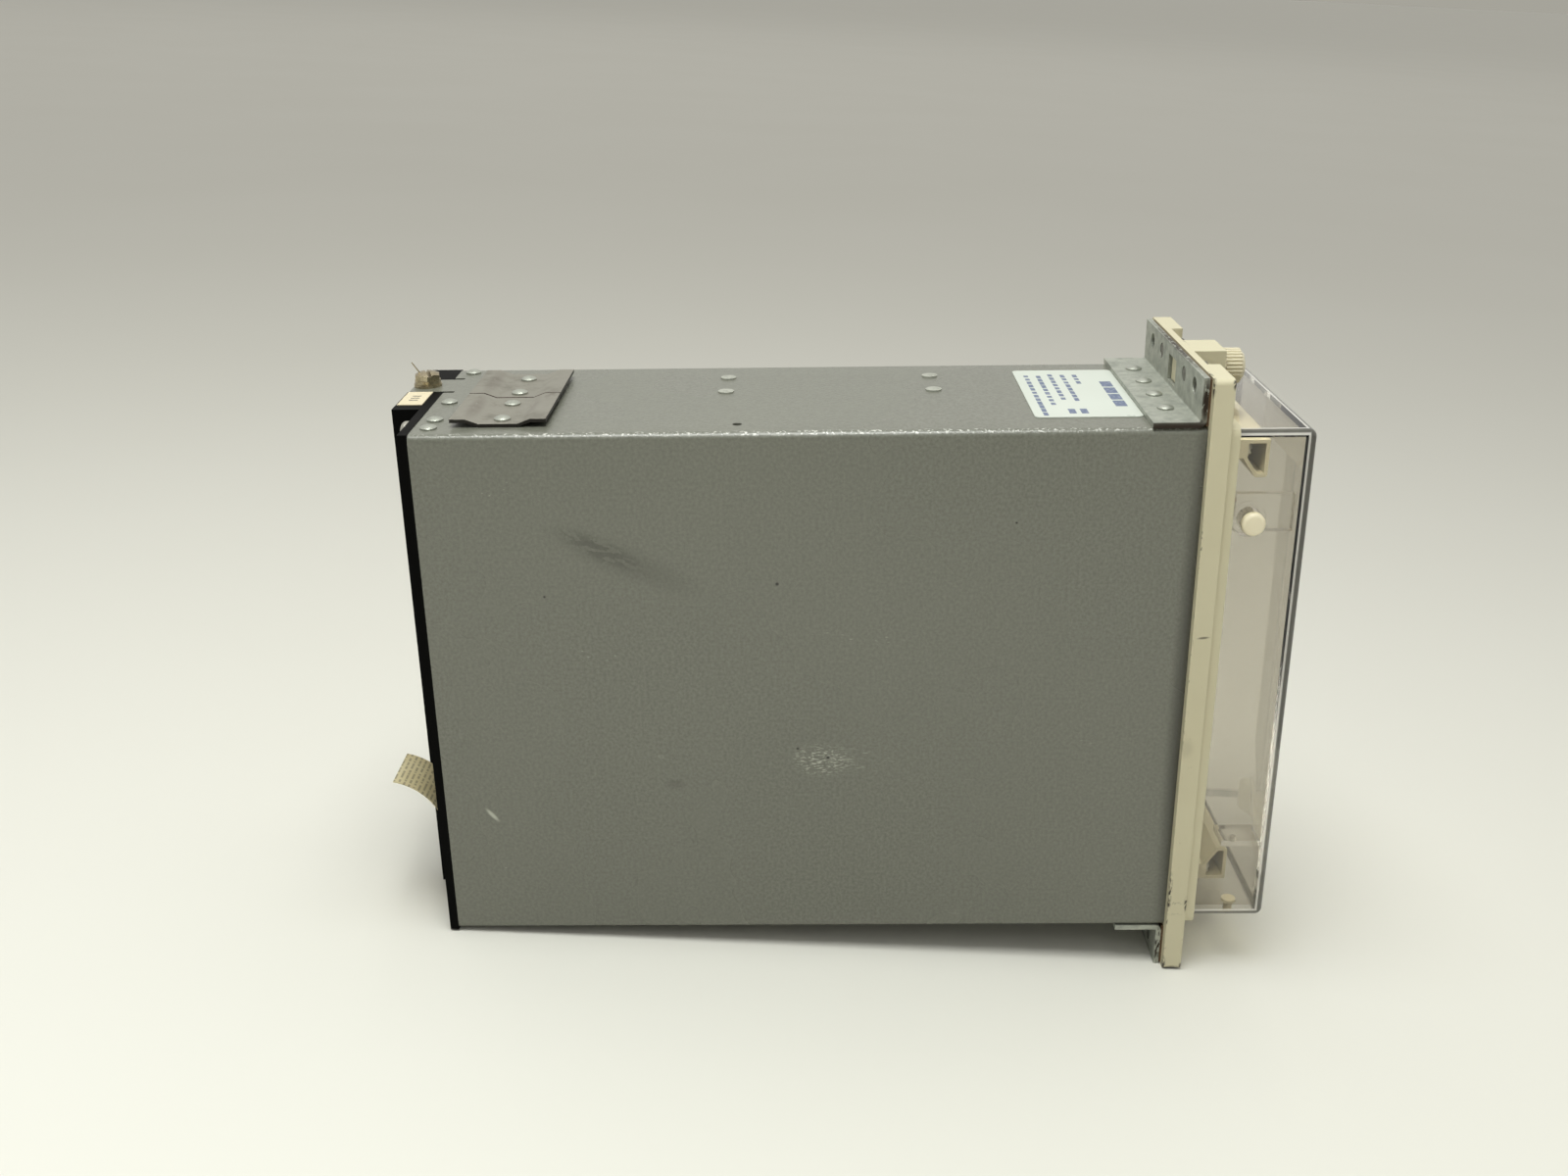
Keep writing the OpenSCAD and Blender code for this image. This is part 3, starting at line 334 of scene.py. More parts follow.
@dataclass(frozen=True)
class TexturedPaint:
    """Stoved textured paint on sheet steel: a fine leathery grain, soft cloudy tone, scuffs and smudges,
    painted shade along the front edge and painted highlight specks along the near top fold.
    """

    name: str = "stoved_textured_paint"
    colour: str = "#6d6e63"
    cloud: str = "#64655b"
    scuff: str = "#b4b6a8"
    # Colour of the painted highlight specks along the near top fold.
    painted_highlight: str = "#f0f0e8"
    # Colour of the smudges and of the painted shade along the case's front edge.
    grime_and_shade: str = "#34332b"
    chip: str = "#22201c"
    grain_mm: float = 0.9
    cloud_mm: float = 70.0
    grain_height_mm: float = 0.09
    roughness: float = 0.27
    shine: float = 0.62
    scuffs: tuple[Spot, ...] = (
        Spot((-36, 97.5, -20), (3, 11, 6.5), turn=2, grain=(1, 7, 15), cover=0.46, strength=0.75),
        Spot((-36, 88, -19.5), (3, 14, 6), turn=3, grain=(1, 3, 17), cover=0.3, strength=0.5),
        Spot((-36, 88, 17.6), (3, 22, 4), turn=3, grain=(1, 9, 7), cover=0.2, strength=0.4),
        Spot((-36, 160, 13), (3, 13, 7), turn=8, grain=(1, 7, 9), cover=0.17, strength=0.4),
        Spot((-36, 21, -14.8), (3, 14, 3), turn=3, grain=(1, 5, 9), cover=0.2, strength=0.4),
        Spot((-36, 184, 60), (3, 9, 8), turn=-25, grain=(1, 6, 12), cover=0.18, strength=0.4),
        Spot((-36, 188, -54), (3, 10, 6), turn=20, grain=(1, 6, 9), cover=0.16, strength=0.4),
        Spot((-36, 191.6, -37), (2, 3.4, 0.85), turn=50, strength=1.0),
        Spot((-20, 150, 75.2), (14, 60, 2), grain=(18, 9, 1), cover=0.12, strength=0.35),
        Spot((36, 100, 10), (3, 60, 45), turn=12, grain=(1, 12, 40), cover=0.12, strength=0.5),
    )
    smudges_and_shade: tuple[Spot, ...] = (
        Spot((-36, 155, 42.6), (3, 19, 4.6), turn=26, grain=(1, 5, 3.4), cover=0.72, strength=0.5),
        Spot((-36, 150, 40), (3, 28, 6), turn=24, strength=0.22),
        Spot((-36, 139, -27.3), (2, 4, 2.2), strength=0.22),
        # Painted shade: a dark soft band on the near face along the case's front edge, next to the frame.
        Spot((-36, -2.6, 0), (3, 5.5, 130), strength=0.85),
        Spot((36, 60, -20), (3, 20, 12), turn=30, grain=(1, 3, 5), cover=0.4, strength=0.35),
    )
    # Painted highlight: bright specks along the near top fold, where the lamp would glint.
    painted_highlights: tuple[Spot, ...] = (
        Spot((-34.8, 102, 74.9), (1.3, 150, 1.2), grain=(2, 160, 2), cover=0.38, strength=0.7),
    )
    chips: tuple[Spot, ...] = (
        Spot((-36, 109.3, 33.2), (2, 0.7, 0.7)),
        Spot((-36, 95.8, -19.2), (2, 0.7, 0.6)),
        Spot((-36, 104.3, -16.3), (2, 0.6, 0.5)),
        Spot((-36, 172, 30), (2, 0.5, 0.5)),
        Spot((-36, 46, 50), (2, 0.5, 0.4)),
    )

    def make(self) -> bpy.types.Material:
        """Builds the material."""
        shader = Shader(self.name)
        cloud = shader.noise(per_mm(self.cloud_mm), 3.0)
        grain = shader.noise(per_mm(self.grain_mm), 2.0, Roughness=0.6)
        colour = shader.blend(cloud, self.cloud, self.colour)
        colour = shader.blend(shader.remap(grain, 0.32, 0.7, high=0.14), colour, self.scuff)
        # Smudges and painted shade, scuffs, painted highlights and chips, laid over the paint in turn.
        wear_and_painted_light = ((self.smudges_and_shade, self.grime_and_shade), (self.scuffs, self.scuff),
                (self.painted_highlights, self.painted_highlight), (self.chips, self.chip))
        for spots, tone in wear_and_painted_light:
            colour = shader.blend(masks(shader, spots), colour, tone)
        sheen = shader.remap(cloud, 0.0, 1.0, self.roughness - 0.06, self.roughness + 0.07)
        bump = shader.bump(grain, 0.9, self.grain_height_mm)
        return shader.finish(Base_Color=colour, Roughness=sheen, Specular_IOR_Level=self.shine, Normal=bump)


@dataclass(frozen=True)
class Moulding:
    """Moulded plastic: a faint flow cloud, tiny specks, and dirt or chips where it was handled, with painted
    shade in some hollows.
    """

    name: str
    colour: str
    cloud: str
    roughness: float = 0.42
    shine: float = 0.5
    speck: str = "#8a7f60"
    speck_share: float = 0.06
    speck_mm: float = 1.6
    cloud_mm: float = 26.0
    skin_mm: float = 0.5
    skin_height_mm: float = 0.006
    # Colour of dirt and chips, and of painted shade in hollows such as screw holes.
    dirt_and_shade: str = "#57503e"
    spots: tuple[Spot, ...] = ()

    def make(self) -> bpy.types.Material:
        """Builds the material."""
        shader = Shader(self.name)
        cloud = shader.noise(per_mm(self.cloud_mm), 4.0)
        colour = shader.blend(cloud, self.cloud, self.colour)
        crumbs = shader.noise(per_mm(self.speck_mm), 3.0)
        flecks = shader.remap(crumbs, 0.74 - self.speck_share, 0.8, high=0.5)
        colour = shader.blend(flecks, colour, self.speck)
        if self.spots:
            colour = shader.blend(masks(shader, self.spots), colour, self.dirt_and_shade)
        rough = shader.remap(cloud, 0.3, 0.7, self.roughness - 0.05, self.roughness + 0.07)
        bump = shader.bump(shader.noise(per_mm(self.skin_mm), 2.0), 0.6, self.skin_height_mm)
        return shader.finish(Base_Color=colour, Roughness=rough, Specular_IOR_Level=self.shine, Normal=bump)


@dataclass(frozen=True)
class Metal:
    """Plain or plated metal: fine brushing or drawing marks, tarnish in clouds, stains with some painted
    shade, and painted shade on faces turned sideways or down.
    """

    name: str
    colour: str
    tarnish: str
    roughness: float = 0.34
    metallic: float = 1.0
    tarnish_share: float = 0.35
    tarnish_mm: float = 5.0
    mark_mm: Triple = (0.25, 0.25, 0.25)
    mark_depth_mm: float = 0.012
    spangle_mm: float = 0.0
    spots: tuple[Spot, ...] = ()
    # Colour of stains and of the painted shade laid by the spots.
    stain_and_shade: str = "#5b4636"
    painted_side_shade: Optional[str] = None

    def make(self) -> bpy.types.Material:
        """Builds the material."""
        shader = Shader(self.name)
        cloud = shader.noise(per_mm(self.tarnish_mm), 5.0, Roughness=0.62)
        share = shader.remap(cloud, 0.66 - 0.4 * self.tarnish_share, 0.78, high=0.85)
        colour = shader.blend(share, self.colour, self.tarnish)
        if self.spangle_mm:
            cells = shader.add(
                "ShaderNodeTexVoronoi", {"Vector": shader.place, "Scale": per_mm(self.spangle_mm)},
                feature="F1")
            grey = shader.add("ShaderNodeSeparateColor", {"Color": cells.outputs["Color"]})
            colour = shader.blend(shader.remap(grey, 0.0, 1.0, high=0.3), colour, self.tarnish)
        if self.spots:
            colour = shader.blend(masks(shader, self.spots), colour, self.stain_and_shade)
        # Painted shade: faces turned sideways or down get darker, by their normal.
        if self.painted_side_shade:
            facing = shader.add("ShaderNodeTexCoord").outputs["Normal"]
            upward = shader.add("ShaderNodeSeparateXYZ", {"Vector": facing}).outputs["Z"]
            colour = shader.blend(shader.remap(upward, 0.6, 0.2, high=0.92), colour, self.painted_side_shade)
        scale = tuple(per_mm(m) for m in self.mark_mm)
        marks = shader.add("ShaderNodeMapping", {"Vector": shader.place, "Scale": scale})
        rough = shader.remap(cloud, 0.3, 0.75, self.roughness - 0.06, self.roughness + 0.16)
        bump = shader.bump(shader.noise(1.0, 2.0, at=marks), 0.35, self.mark_depth_mm)
        return shader.finish(Base_Color=colour, Metallic=self.metallic, Roughness=rough, Normal=bump)


@dataclass(frozen=True)
class ClearMoulding:
    """Clear moulded acrylic: polished, hazed by rubbing, with a painted grey shade band along its edges and a
    painted pale line of light just inside it, where light runs far in it.

    The index is low so that the walls trap no light, and the coat gives the polish. Sizes are in
    millimetres of the relay's frame.
    """

    name: str = "clear_moulded_acrylic"
    tint: str = "#e4e1da"
    shade: str = "#efeee8"
    # Colour of the painted shade band along the cover's outer edges.
    edge: str = "#66655e"
    index: float = 1.05
    coat_index: float = 1.49
    rub_mm: Triple = (9.0, 9.0, 0.5)
    rub_turn: Triple = (0.5, 0.2, 0.0)
    half_width: float = 36.2
    front: float = -30.5
    middle_z: float = 1.85
    half_height: float = 73.85
    dark_mm: float = 1.9
    dark_fade: float = 0.15
    wall_mm: float = 2.5
    wall_fade: float = 0.1
    painted_shade_share: float = 0.75
    painted_light_share: float = 0.7
    frost: tuple[Spot, ...] = (Spot((-29, -22, -48.9), (7, 7, 1.4), strength=0.5),)

    def from_edge(self, shader: Shader) -> Socket:
        """Builds the distance to the cover's nearest outer edge.

        Args:
            shader: The material's tree.

        Returns:
            On an outer face, the distance in metres to its nearest edge.
        """
        axis = shader.add("ShaderNodeSeparateXYZ", {"Vector": shader.place}).outputs
        side = shader.math("SUBTRACT", self.half_width * MM, shader.math("ABSOLUTE", axis["X"]))
        front = shader.math("SUBTRACT", axis["Y"], self.front * MM)
        lift = shader.math("SUBTRACT", axis["Z"], self.middle_z * MM)
        top = shader.math("SUBTRACT", self.half_height * MM, shader.math("ABSOLUTE", lift))
        nearest = shader.math("MINIMUM", side, front)
        other = shader.math("MINIMUM", shader.math("MAXIMUM", side, front), top)
        return shader.math("MAXIMUM", nearest, other).outputs[0]

    def make(self) -> bpy.types.Material:
        """Builds the material."""
        shader = Shader(self.name)
        scale = tuple(per_mm(m) for m in self.rub_mm)
        marks = shader.add(
            "ShaderNodeMapping", {"Vector": shader.place, "Rotation": self.rub_turn, "Scale": scale})
        haze = shader.remap(shader.noise(1.0, 3.0, at=marks), 0.58, 0.8, 0.03, 0.12)
        # Painted shade and light: a grey band within dark_mm of each outer edge and a pale line out to
        # wall_mm, both drawn as diffuse colour instead of clear.
        far = self.from_edge(shader)
        dark = shader.remap(far, (self.dark_mm + self.dark_fade) * MM, (self.dark_mm - self.dark_fade) * MM)
        wall = shader.remap(far, (self.wall_mm + self.wall_fade) * MM, self.wall_mm * MM)
        line = shader.remap(shader.math("SUBTRACT", wall, dark), 0.0, 1.0, high=self.painted_light_share)
        painted_shade_band = shader.remap(dark, 0.0, 1.0, high=self.painted_shade_share)
        drawn = shader.math("MAXIMUM", line, painted_shade_band)
        frost_and_painted_bands = shader.math("MAXIMUM", drawn, masks(shader, self.frost))
        shader.finish(
            Base_Color=shader.blend(dark, self.tint, self.edge), IOR=self.index, Roughness=0.02,
            Transmission_Weight=shader.math("SUBTRACT", 1.0, frost_and_painted_bands),
            Coat_Weight=1.0, Coat_IOR=self.coat_index, Coat_Roughness=haze)
        shadow = shader.add("ShaderNodeLightPath").outputs["Is Shadow Ray"]
        through = shader.add("ShaderNodeBsdfTransparent", {"Color": linear(self.shade)})
        both = shader.add("ShaderNodeMixShader", {0: shadow, 1: shader.surface, 2: through})
        shader.tree.links.new(both.outputs[0], shader.output.inputs["Surface"])
        return shader.material


@dataclass(frozen=True)
class AgedPaper:
    """Thin printed paper: fibres, yellowing in clouds and rows of small marks along its curl."""

    name: str = "yellowed_printed_paper"
    colour: str = "#ddd5b2"
    aged: str = "#bfae7c"
    ink: str = "#6f6a58"
    ink_share: float = 0.6
    age_mm: float = 14.0
    fibre_mm: float = 0.35
    fibre_height_mm: float = 0.02
    row_mm: float = 1.5
    row_share: float = 0.42
    word_mm: float = 1.3
    word_edge: float = 0.47
    curl_centre: Triple = (0.0, 225.2, -48.0)
    curl_r: float = 18.0

    def make(self) -> bpy.types.Material:
        """Builds the material."""
        shader = Shader(self.name)
        local = shader.add(
            "ShaderNodeMapping", {"Vector": shader.place, "Location": metres(*self.curl_centre)},
            vector_type="TEXTURE")
        axis = shader.add("ShaderNodeSeparateXYZ", {"Vector": local}).outputs
        angle = shader.math("ARCTAN2", axis["Z"], shader.math("MULTIPLY", axis["Y"], -1.0))
        along = shader.math("MULTIPLY", angle, self.curl_r / self.row_mm)
        row = shader.math("LESS_THAN", shader.math("FRACT", along), self.row_share)
        across = shader.math("MULTIPLY", axis["X"], per_mm(self.word_mm))
        spot = shader.add("ShaderNodeCombineXYZ", {"X": across, "Y": shader.math("FLOOR", along)})
        word = shader.math("GREATER_THAN", shader.noise(1.0, 1.0, at=spot), self.word_edge)
        ink = shader.math("MULTIPLY", shader.math("MULTIPLY", row, word), self.ink_share)
        sheet = shader.blend(shader.noise(per_mm(self.age_mm), 3.0), self.aged, self.colour)
        bump = shader.bump(shader.noise(per_mm(self.fibre_mm), 3.0), 0.4, self.fibre_height_mm)
        return shader.finish(Base_Color=shader.blend(ink, sheet, self.ink), Roughness=0.75, Normal=bump)


@dataclass(frozen=True)
class CircuitBoard:
    """Glass-fibre board under green solder mask: copper tracks show as paler, raised lines."""

    name: str = "solder_masked_board"
    mask: str = "#2c5a3a"
    track: str = "#43795a"
    cell_mm: float = 5.0
    tracks_per_cell: float = 9.0
    track_height_mm: float = 0.05

    def make(self) -> bpy.types.Material:
        """Builds the material."""
        shader = Shader(self.name)
        flat = shader.add("ShaderNodeMapping", {"Vector": shader.place, "Scale": (0.0, 1.0, 1.0)})
        cells = shader.add(
            "ShaderNodeTexVoronoi", {"Vector": flat, "Scale": per_mm(self.cell_mm), "Randomness": 0.8},
            feature="F1", distance="MANHATTAN")
        ripple = shader.math("MULTIPLY", cells.outputs["Distance"], self.tracks_per_cell)
        track = shader.remap(shader.math("FRACT", ripple), 0.52, 0.6, smooth=True)
        colour = shader.blend(track, self.mask, self.track)
        bump = shader.bump(track, 0.5, self.track_height_mm)
        return shader.finish(Base_Color=colour, Roughness=0.36, Normal=bump)


class Grain(Enum):
    """Direction that the layers of a laminated or wound piece are stacked in."""

    ACROSS = "X"
    UP = "Z"


@dataclass(frozen=True)
class Layered:
    """Stacked sheets or wound turns: fine parallel lines, drawn at the pitch given so that they show."""

    name: str
    colour: str
    gap: str
    pitch_mm: float
    direction: Grain
    roughness: float = 0.45
    metallic: float = 0.0
    cloud_mm: float = 8.0
    gap_depth_mm: float = 0.1

    def make(self) -> bpy.types.Material:
        """Builds the material."""
        shader = Shader(self.name)
        waves = shader.add(
            "ShaderNodeTexWave",
            {"Vector": shader.place, "Scale": per_mm(self.pitch_mm) / 10, "Distortion": 0.4, "Detail": 2.0},
            wave_type="BANDS", bands_direction=self.direction.value, wave_profile="SIN")
        lines = shader.remap(waves.outputs["Fac"], 0.0, 0.55)
        shade = shader.remap(shader.noise(per_mm(self.cloud_mm), 4.0), 0.35, 0.75, high=0.35)
        colour = shader.blend(shade, shader.blend(lines, self.gap, self.colour), self.gap)
        bump = shader.bump(lines, 0.5, self.gap_depth_mm)
        return shader.finish(
            Base_Color=colour, Roughness=self.roughness, Metallic=self.metallic, Normal=bump)


@dataclass(frozen=True)
class Ink:
    """Screen-printed ink: flat colour, slightly worn through in places."""

    name: str
    colour: str
    worn: str
    rub_mm: float = 0.9

    def make(self) -> bpy.types.Material:
        """Builds the material."""
        shader = Shader(self.name)
        rub = shader.remap(shader.noise(per_mm(self.rub_mm), 3.0), 0.5, 0.75, high=0.7)
        return shader.finish(Base_Color=shader.blend(rub, self.colour, self.worn), Roughness=0.5)


CREAM_SPOTS = (
    Spot((-38.75, -5.0, 17.7), (1.5, 2.2, 0.5), turn=-6, strength=0.75),
    Spot((-38.75, -2.1, -62), (1.5, 1.0, 9), grain=(1, 2, 5), cover=0.6),
    Spot((-38.75, -2.1, -66.3), (1.5, 0.9, 1.2)),
    Spot((-38.75, -7.3, -66), (1.5, 0.9, 3.4), grain=(1, 2, 3), cover=0.7),
    Spot((-38.75, -4.0, -65.8), (1.5, 3.0, 0.6), grain=(1, 9, 1), cover=0.5, strength=0.6),
    Spot((-38.75, -4.0, -69.5), (1.5, 3.0, 0.5), grain=(1, 9, 1), cover=0.45, strength=0.5),
    Spot((-38, -4.7, -88.8), (6, 4.4, 2.0), grain=(3, 3, 2), cover=0.95),
    Spot((-38.75, -2.0, -87), (2, 1.1, 4), grain=(1, 2, 3), cover=0.75),
    Spot((-38.75, -7.5, -87.6), (2, 1.0, 2.4), grain=(1, 2, 2), cover=0.75),
    Spot((37.5, -4.5, -88.6), (6, 4, 1.6), grain=(2, 2, 2), cover=0.7),
    Spot((-38.75, -2.0, -72), (1.5, 0.7, 26), grain=(1, 1, 12), cover=0.45, strength=0.7),
    Spot((-38.75, -2.1, 43.3), (1.2, 0.6, 9), grain=(1, 1, 7), cover=0.5, strength=0.7),
    Spot((-38.75, -2.1, 5), (1.2, 0.5, 40), grain=(1, 1, 18), cover=0.35, strength=0.6),
    Spot((-38.75, -3.0, -15.6), (1.5, 3, 4), strength=0.14),
    Spot((-34, -2.1, 88.4), (6, 0.9, 0.8), grain=(5, 1, 1), cover=0.6, strength=0.8),
    Spot((-38.6, -7.2, 87.4), (1.2, 0.8, 2.2), grain=(1, 1, 2), cover=0.75),
    Spot((-37.6, -2.2, 86), (1.6, 0.7, 3.5), grain=(1, 1, 3), cover=0.7),
    Spot((0, -4, 88.4), (40, 0.6, 0.5), grain=(12, 1, 1), cover=0.3, strength=0.4),
    # Painted shade in the holes round the four frame screws.
    *(Spot((x, -2, z), (3.6, 4, 3.6)) for z in (84, -84) for x in (-26, 26)),
)

ANGLE_STAINS_AND_SHADE = (
    Spot((-28, -0.8, 84), (10, 1.2, 6), grain=(4, 1, 3), cover=0.5, strength=0.4),
    Spot((0, -0.8, 88.3), (38, 1.2, 0.9), grain=(16, 1, 1), cover=0.75, strength=0.9),
    Spot((-35.8, -0.9, 82), (0.9, 1.6, 9), grain=(1, 2, 4), cover=0.9),
    # Painted shadow along the lower part of the upper angle foot's near edge.
    Spot((-36.0, 6, 75.2), (0.9, 60, 3.4), strength=1.0),
    Spot((-35.8, 0.2, 76.6), (0.7, 2.2, 2.0), strength=0.8),
    Spot((0, 6, -76.7), (36, 8, 1.5), grain=(9, 3, 1), cover=0.4, strength=0.6),
    Spot((-35.8, -0.8, -82), (0.9, 1.3, 9), grain=(1, 2, 5), cover=0.6),
)

CLIP_STAINS_AND_SHADE = (
    # Painted shade in the gap between the near and far clip plates.
    Spot((-1.4, 182.3, 77), (0.55, 20, 4), strength=0.95),
    Spot((-15, 190.5, 77), (16, 2.6, 2.5), grain=(2, 1.2, 1), cover=0.9, strength=0.3),
    Spot((12, 190.5, 77), (16, 2.6, 2.5), grain=(2, 1.2, 1), cover=0.9, strength=0.3),
    Spot((-15, 175.2, 77), (16, 2.2, 2.5), grain=(2, 1.2, 1), cover=0.8, strength=0.22),
    Spot((-3, 172, 78), (7, 3, 2.5), grain=(3, 2, 1), cover=0.6, strength=0.35),
    Spot((0, 182, 76.2), (26, 10, 2), grain=(6, 4, 1), cover=0.3, strength=0.2),
)


class Finishes:
    """Every finish on the relay."""

    PAINT = TexturedPaint()
    CREAM = Moulding(
        "cream_urea_moulding", "#d0caad", "#c7bfa0", roughness=0.4, speck="#8d7f5c", speck_share=0.02,
        dirt_and_shade="#332b20", spots=CREAM_SPOTS)
    CREAM_KNOB = Moulding(
        "cream_knob_moulding", "#e0d9c0", "#d5ccae", roughness=0.4, speck="#9a8d6a", speck_share=0.03)
    IVORY = Moulding(
        "ivory_button_moulding", "#efe7cd", "#e7dcbb", roughness=0.33, speck="#a59770", speck_share=0.02)
    BLACK = Moulding(
        "black_phenolic_moulding", "#050504", "#030303", roughness=0.5, shine=0.05, speck="#22211e",
        speck_share=0.03, skin_mm=0.9, skin_height_mm=0.03)
    RAIL = Moulding("grey_nylon_moulding", "#3d3d3a", "#33332f", roughness=0.5, speck="#5c5b55")
    RELAY = Moulding("ivory_relay_housing", "#dedacb", "#d2ccb9", roughness=0.32, speck="#a8a08a")
    PACKAGE = Moulding(
        "black_epoxy_package", "#1d1d1e", "#151516", roughness=0.5, speck="#3a3a3a", skin_mm=0.25)
    RESISTOR = Moulding("tan_resistor_lacquer", "#b9976a", "#a78555", roughness=0.35, speck="#6d5433")
    SLEEVE = Moulding(
        "blue_vinyl_sleeve", "#27406f", "#20355c", roughness=0.3, speck="#4c6391", speck_share=0.02)
    LENS = Moulding("red_lamp_lens", "#9b2318", "#861c12", roughness=0.15, speck="#b8483a", speck_share=0.0)
    PLATE = Moulding(
        "pale_plate_paint", "#cfccbf", "#c6c2b3", roughness=0.38, speck="#98937f", speck_share=0.02)
    FILM = Moulding(
        "white_label_film", "#ced4cb", "#c5cbc1", roughness=0.32, speck="#b7b9ac", speck_share=0.02,
        cloud_mm=18.0)
    STICKER = Moulding(
        "cream_sticker_paper", "#ddd2b6", "#d2c6a7", roughness=0.6, speck="#a89a78", speck_share=0.03)
    SEAL = Moulding(
        "brown_cork_seal", "#6b5138", "#40301f", roughness=0.85, speck="#a1835a", speck_share=0.16,
        speck_mm=0.8, cloud_mm=3.0, skin_height_mm=0.06)
    GALVANISED = Metal(
        "dulled_galvanised_steel", "#b3b6ab", "#7f837b", roughness=0.46, metallic=0.5, tarnish_share=0.55,
        tarnish_mm=4.0, mark_mm=(0.8, 0.4, 0.4), spangle_mm=1.7, spots=ANGLE_STAINS_AND_SHADE, stain_and_shade="#2e241b")
    CLIP_STEEL = Metal(
        "rolled_zinc_plate", "#908d82", "#6d6a61", roughness=0.42, metallic=0.5, tarnish_share=0.4,
        tarnish_mm=8.0, mark_mm=(6.0, 0.3, 0.4), spots=CLIP_STAINS_AND_SHADE, stain_and_shade="#4e3f36", painted_side_shade="#1d1a17")
    RIVET = Metal(
        "set_aluminium_rivet", "#b4b7ad", "#7d8078", roughness=0.36, metallic=0.8, tarnish_share=0.3,
        tarnish_mm=2.2)
    FLUSH_RIVET = Metal(
        "worn_painted_rivet", "#b4b6ab", "#82847a", roughness=0.42, metallic=0.4, tarnish_share=0.4,
        tarnish_mm=2.5)
    SCREW_TIP = Metal(
        "dulled_screw_steel", "#7d7b74", "#55534c", roughness=0.42, tarnish_share=0.5, tarnish_mm=1.5)
    ZINC = Metal(
        "zinc_plated_screw_steel", "#c4c2b8", "#8f8a7a", roughness=0.3, tarnish_share=0.3, tarnish_mm=3.0)
    NICKEL_BRASS = Metal(
        "worn_nickel_on_brass", "#b3a88e", "#5a4c35", roughness=0.24, tarnish_share=0.45, tarnish_mm=1.8)
    BRASS = Metal(
        "tarnished_brass", "#c2a362", "#7d6232", roughness=0.36, tarnish_share=0.45, tarnish_mm=3.5)
    CLEAR = ClearMoulding()
    PAPER = AgedPaper()
    BOARD = CircuitBoard()
    CORE = Layered("varnished_core_laminations", "#5a5c5e", "#26272a", 0.8, Grain.ACROSS, metallic=0.6)
    COIL = Layered("taped_coil_winding", "#b5852f", "#7a5315", 1.6, Grain.UP, roughness=0.35)
    LABEL_INK = Ink("slate_label_ink", "#5f6b86", "#aab0bd")
    DARK_INK = Ink("dark_label_ink", "#3b3833", "#8b867b")
    PALE_INK = Ink("pale_number_ink", "#cfcdc2", "#8d8b83")


def body_of(node: str) -> str:
    """Name of the body that a CAD node belongs to."""
    return frame["nodes"][node]["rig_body"]


def slot_of(node: str) -> str:
    """Record's material slot of a CAD node."""
    return next(s["material_slot"] for s in frame["record"]["subparts"] if s["node"] == node)


def paint(finish: Finish, *nodes: str) -> None:
    """Gives CAD nodes a finish.

    Args:
        finish: The finish.
        nodes: Names of the CAD nodes.
    """
    for node in nodes:
        mesh = frame["nodes"][node].data
        mesh.materials.clear()
        mesh.materials.append(material_of(finish))


def staged(name: str, data: Any) -> bpy.types.Object:
    """Puts an object with that data in the scene.

    Args:
        name: Name of the object.
        data: Its mesh, curve, text, light or camera.

    Returns:
        The new object.
    """
    obj = bpy.data.objects.new(name, data)
    bpy.context.scene.collection.objects.link(obj)
    return obj


def piece(name: str, mesh: bpy.types.Mesh, body: str, slot: str,
          finish: Optional[Finish] = None) -> bpy.types.Object:
    """Puts a mesh in the scene as a piece of the relay.

    Args:
        name: Name of the piece.
        mesh: Its mesh, already in place.
        body: Body that it rides on.
        slot: Record's material slot; not used.
        finish: Finish for the whole piece, or none if the mesh has its material.

    Returns:
        The new object.
    """
    obj = staged(name, mesh)
    if finish is not None:
        mesh.materials.clear()
        mesh.materials.append(material_of(finish))
    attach(obj, body)
    LOG.info("%s: %d faces on %s", name, len(mesh.polygons), body)
    return obj


def settled(obj: bpy.types.Object) -> bpy.types.Mesh:
    """Turns an object with modifiers into a plain mesh and removes the object.

    Args:
        obj: Scratch object with live modifiers.

    Returns:
        Its evaluated mesh.
    """
    bpy.context.view_layer.update()
    graph = bpy.context.evaluated_depsgraph_get()
    mesh = bpy.data.meshes.new_from_object(obj.evaluated_get(graph))
    obj.modifiers.clear()
    bpy.data.objects.remove(obj)
    return mesh


SHARP = math.radians(32)
FLAT = math.radians(0.4)
MERGE = 0.002 * MM


def soften(node: str, edge_mm: float, finish: Finish, segments: int = 2) -> bpy.types.Object:
    """Stands a copy of a CAD node with rounded edges in its place.

    Args:
        node: The CAD node.
        edge_mm: Radius of the rounded edges.
        finish: Finish of the piece.
        segments: Steps around each rounded edge.

    Returns:
        The piece that replaces the node.
    """
    mesh = frame["nodes"][node].data.copy()
    shape = bmesh.new()
    shape.from_mesh(mesh)
    bmesh.ops.remove_doubles(shape, verts=shape.verts, dist=MERGE)
    bmesh.ops.dissolve_limit(shape, angle_limit=FLAT, verts=shape.verts, edges=shape.edges)
    for face in shape.faces:
        face.smooth = True
    shape.to_mesh(mesh)
    shape.free()
    mesh.set_sharp_from_angle(angle=SHARP)
    scratch = staged(node + "_scratch", mesh)
    rounding = scratch.modifiers.new("rounding", "BEVEL")
    rounding.width = edge_mm * MM
    rounding.segments = segments
    rounding.limit_method = "ANGLE"
    rounding.angle_limit = SHARP
    rounding.use_clamp_overlap = True
    rounding.harden_normals = True
    obj = piece(node + "_finished", settled(scratch), body_of(node), slot_of(node), finish)
    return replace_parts(obj, node)


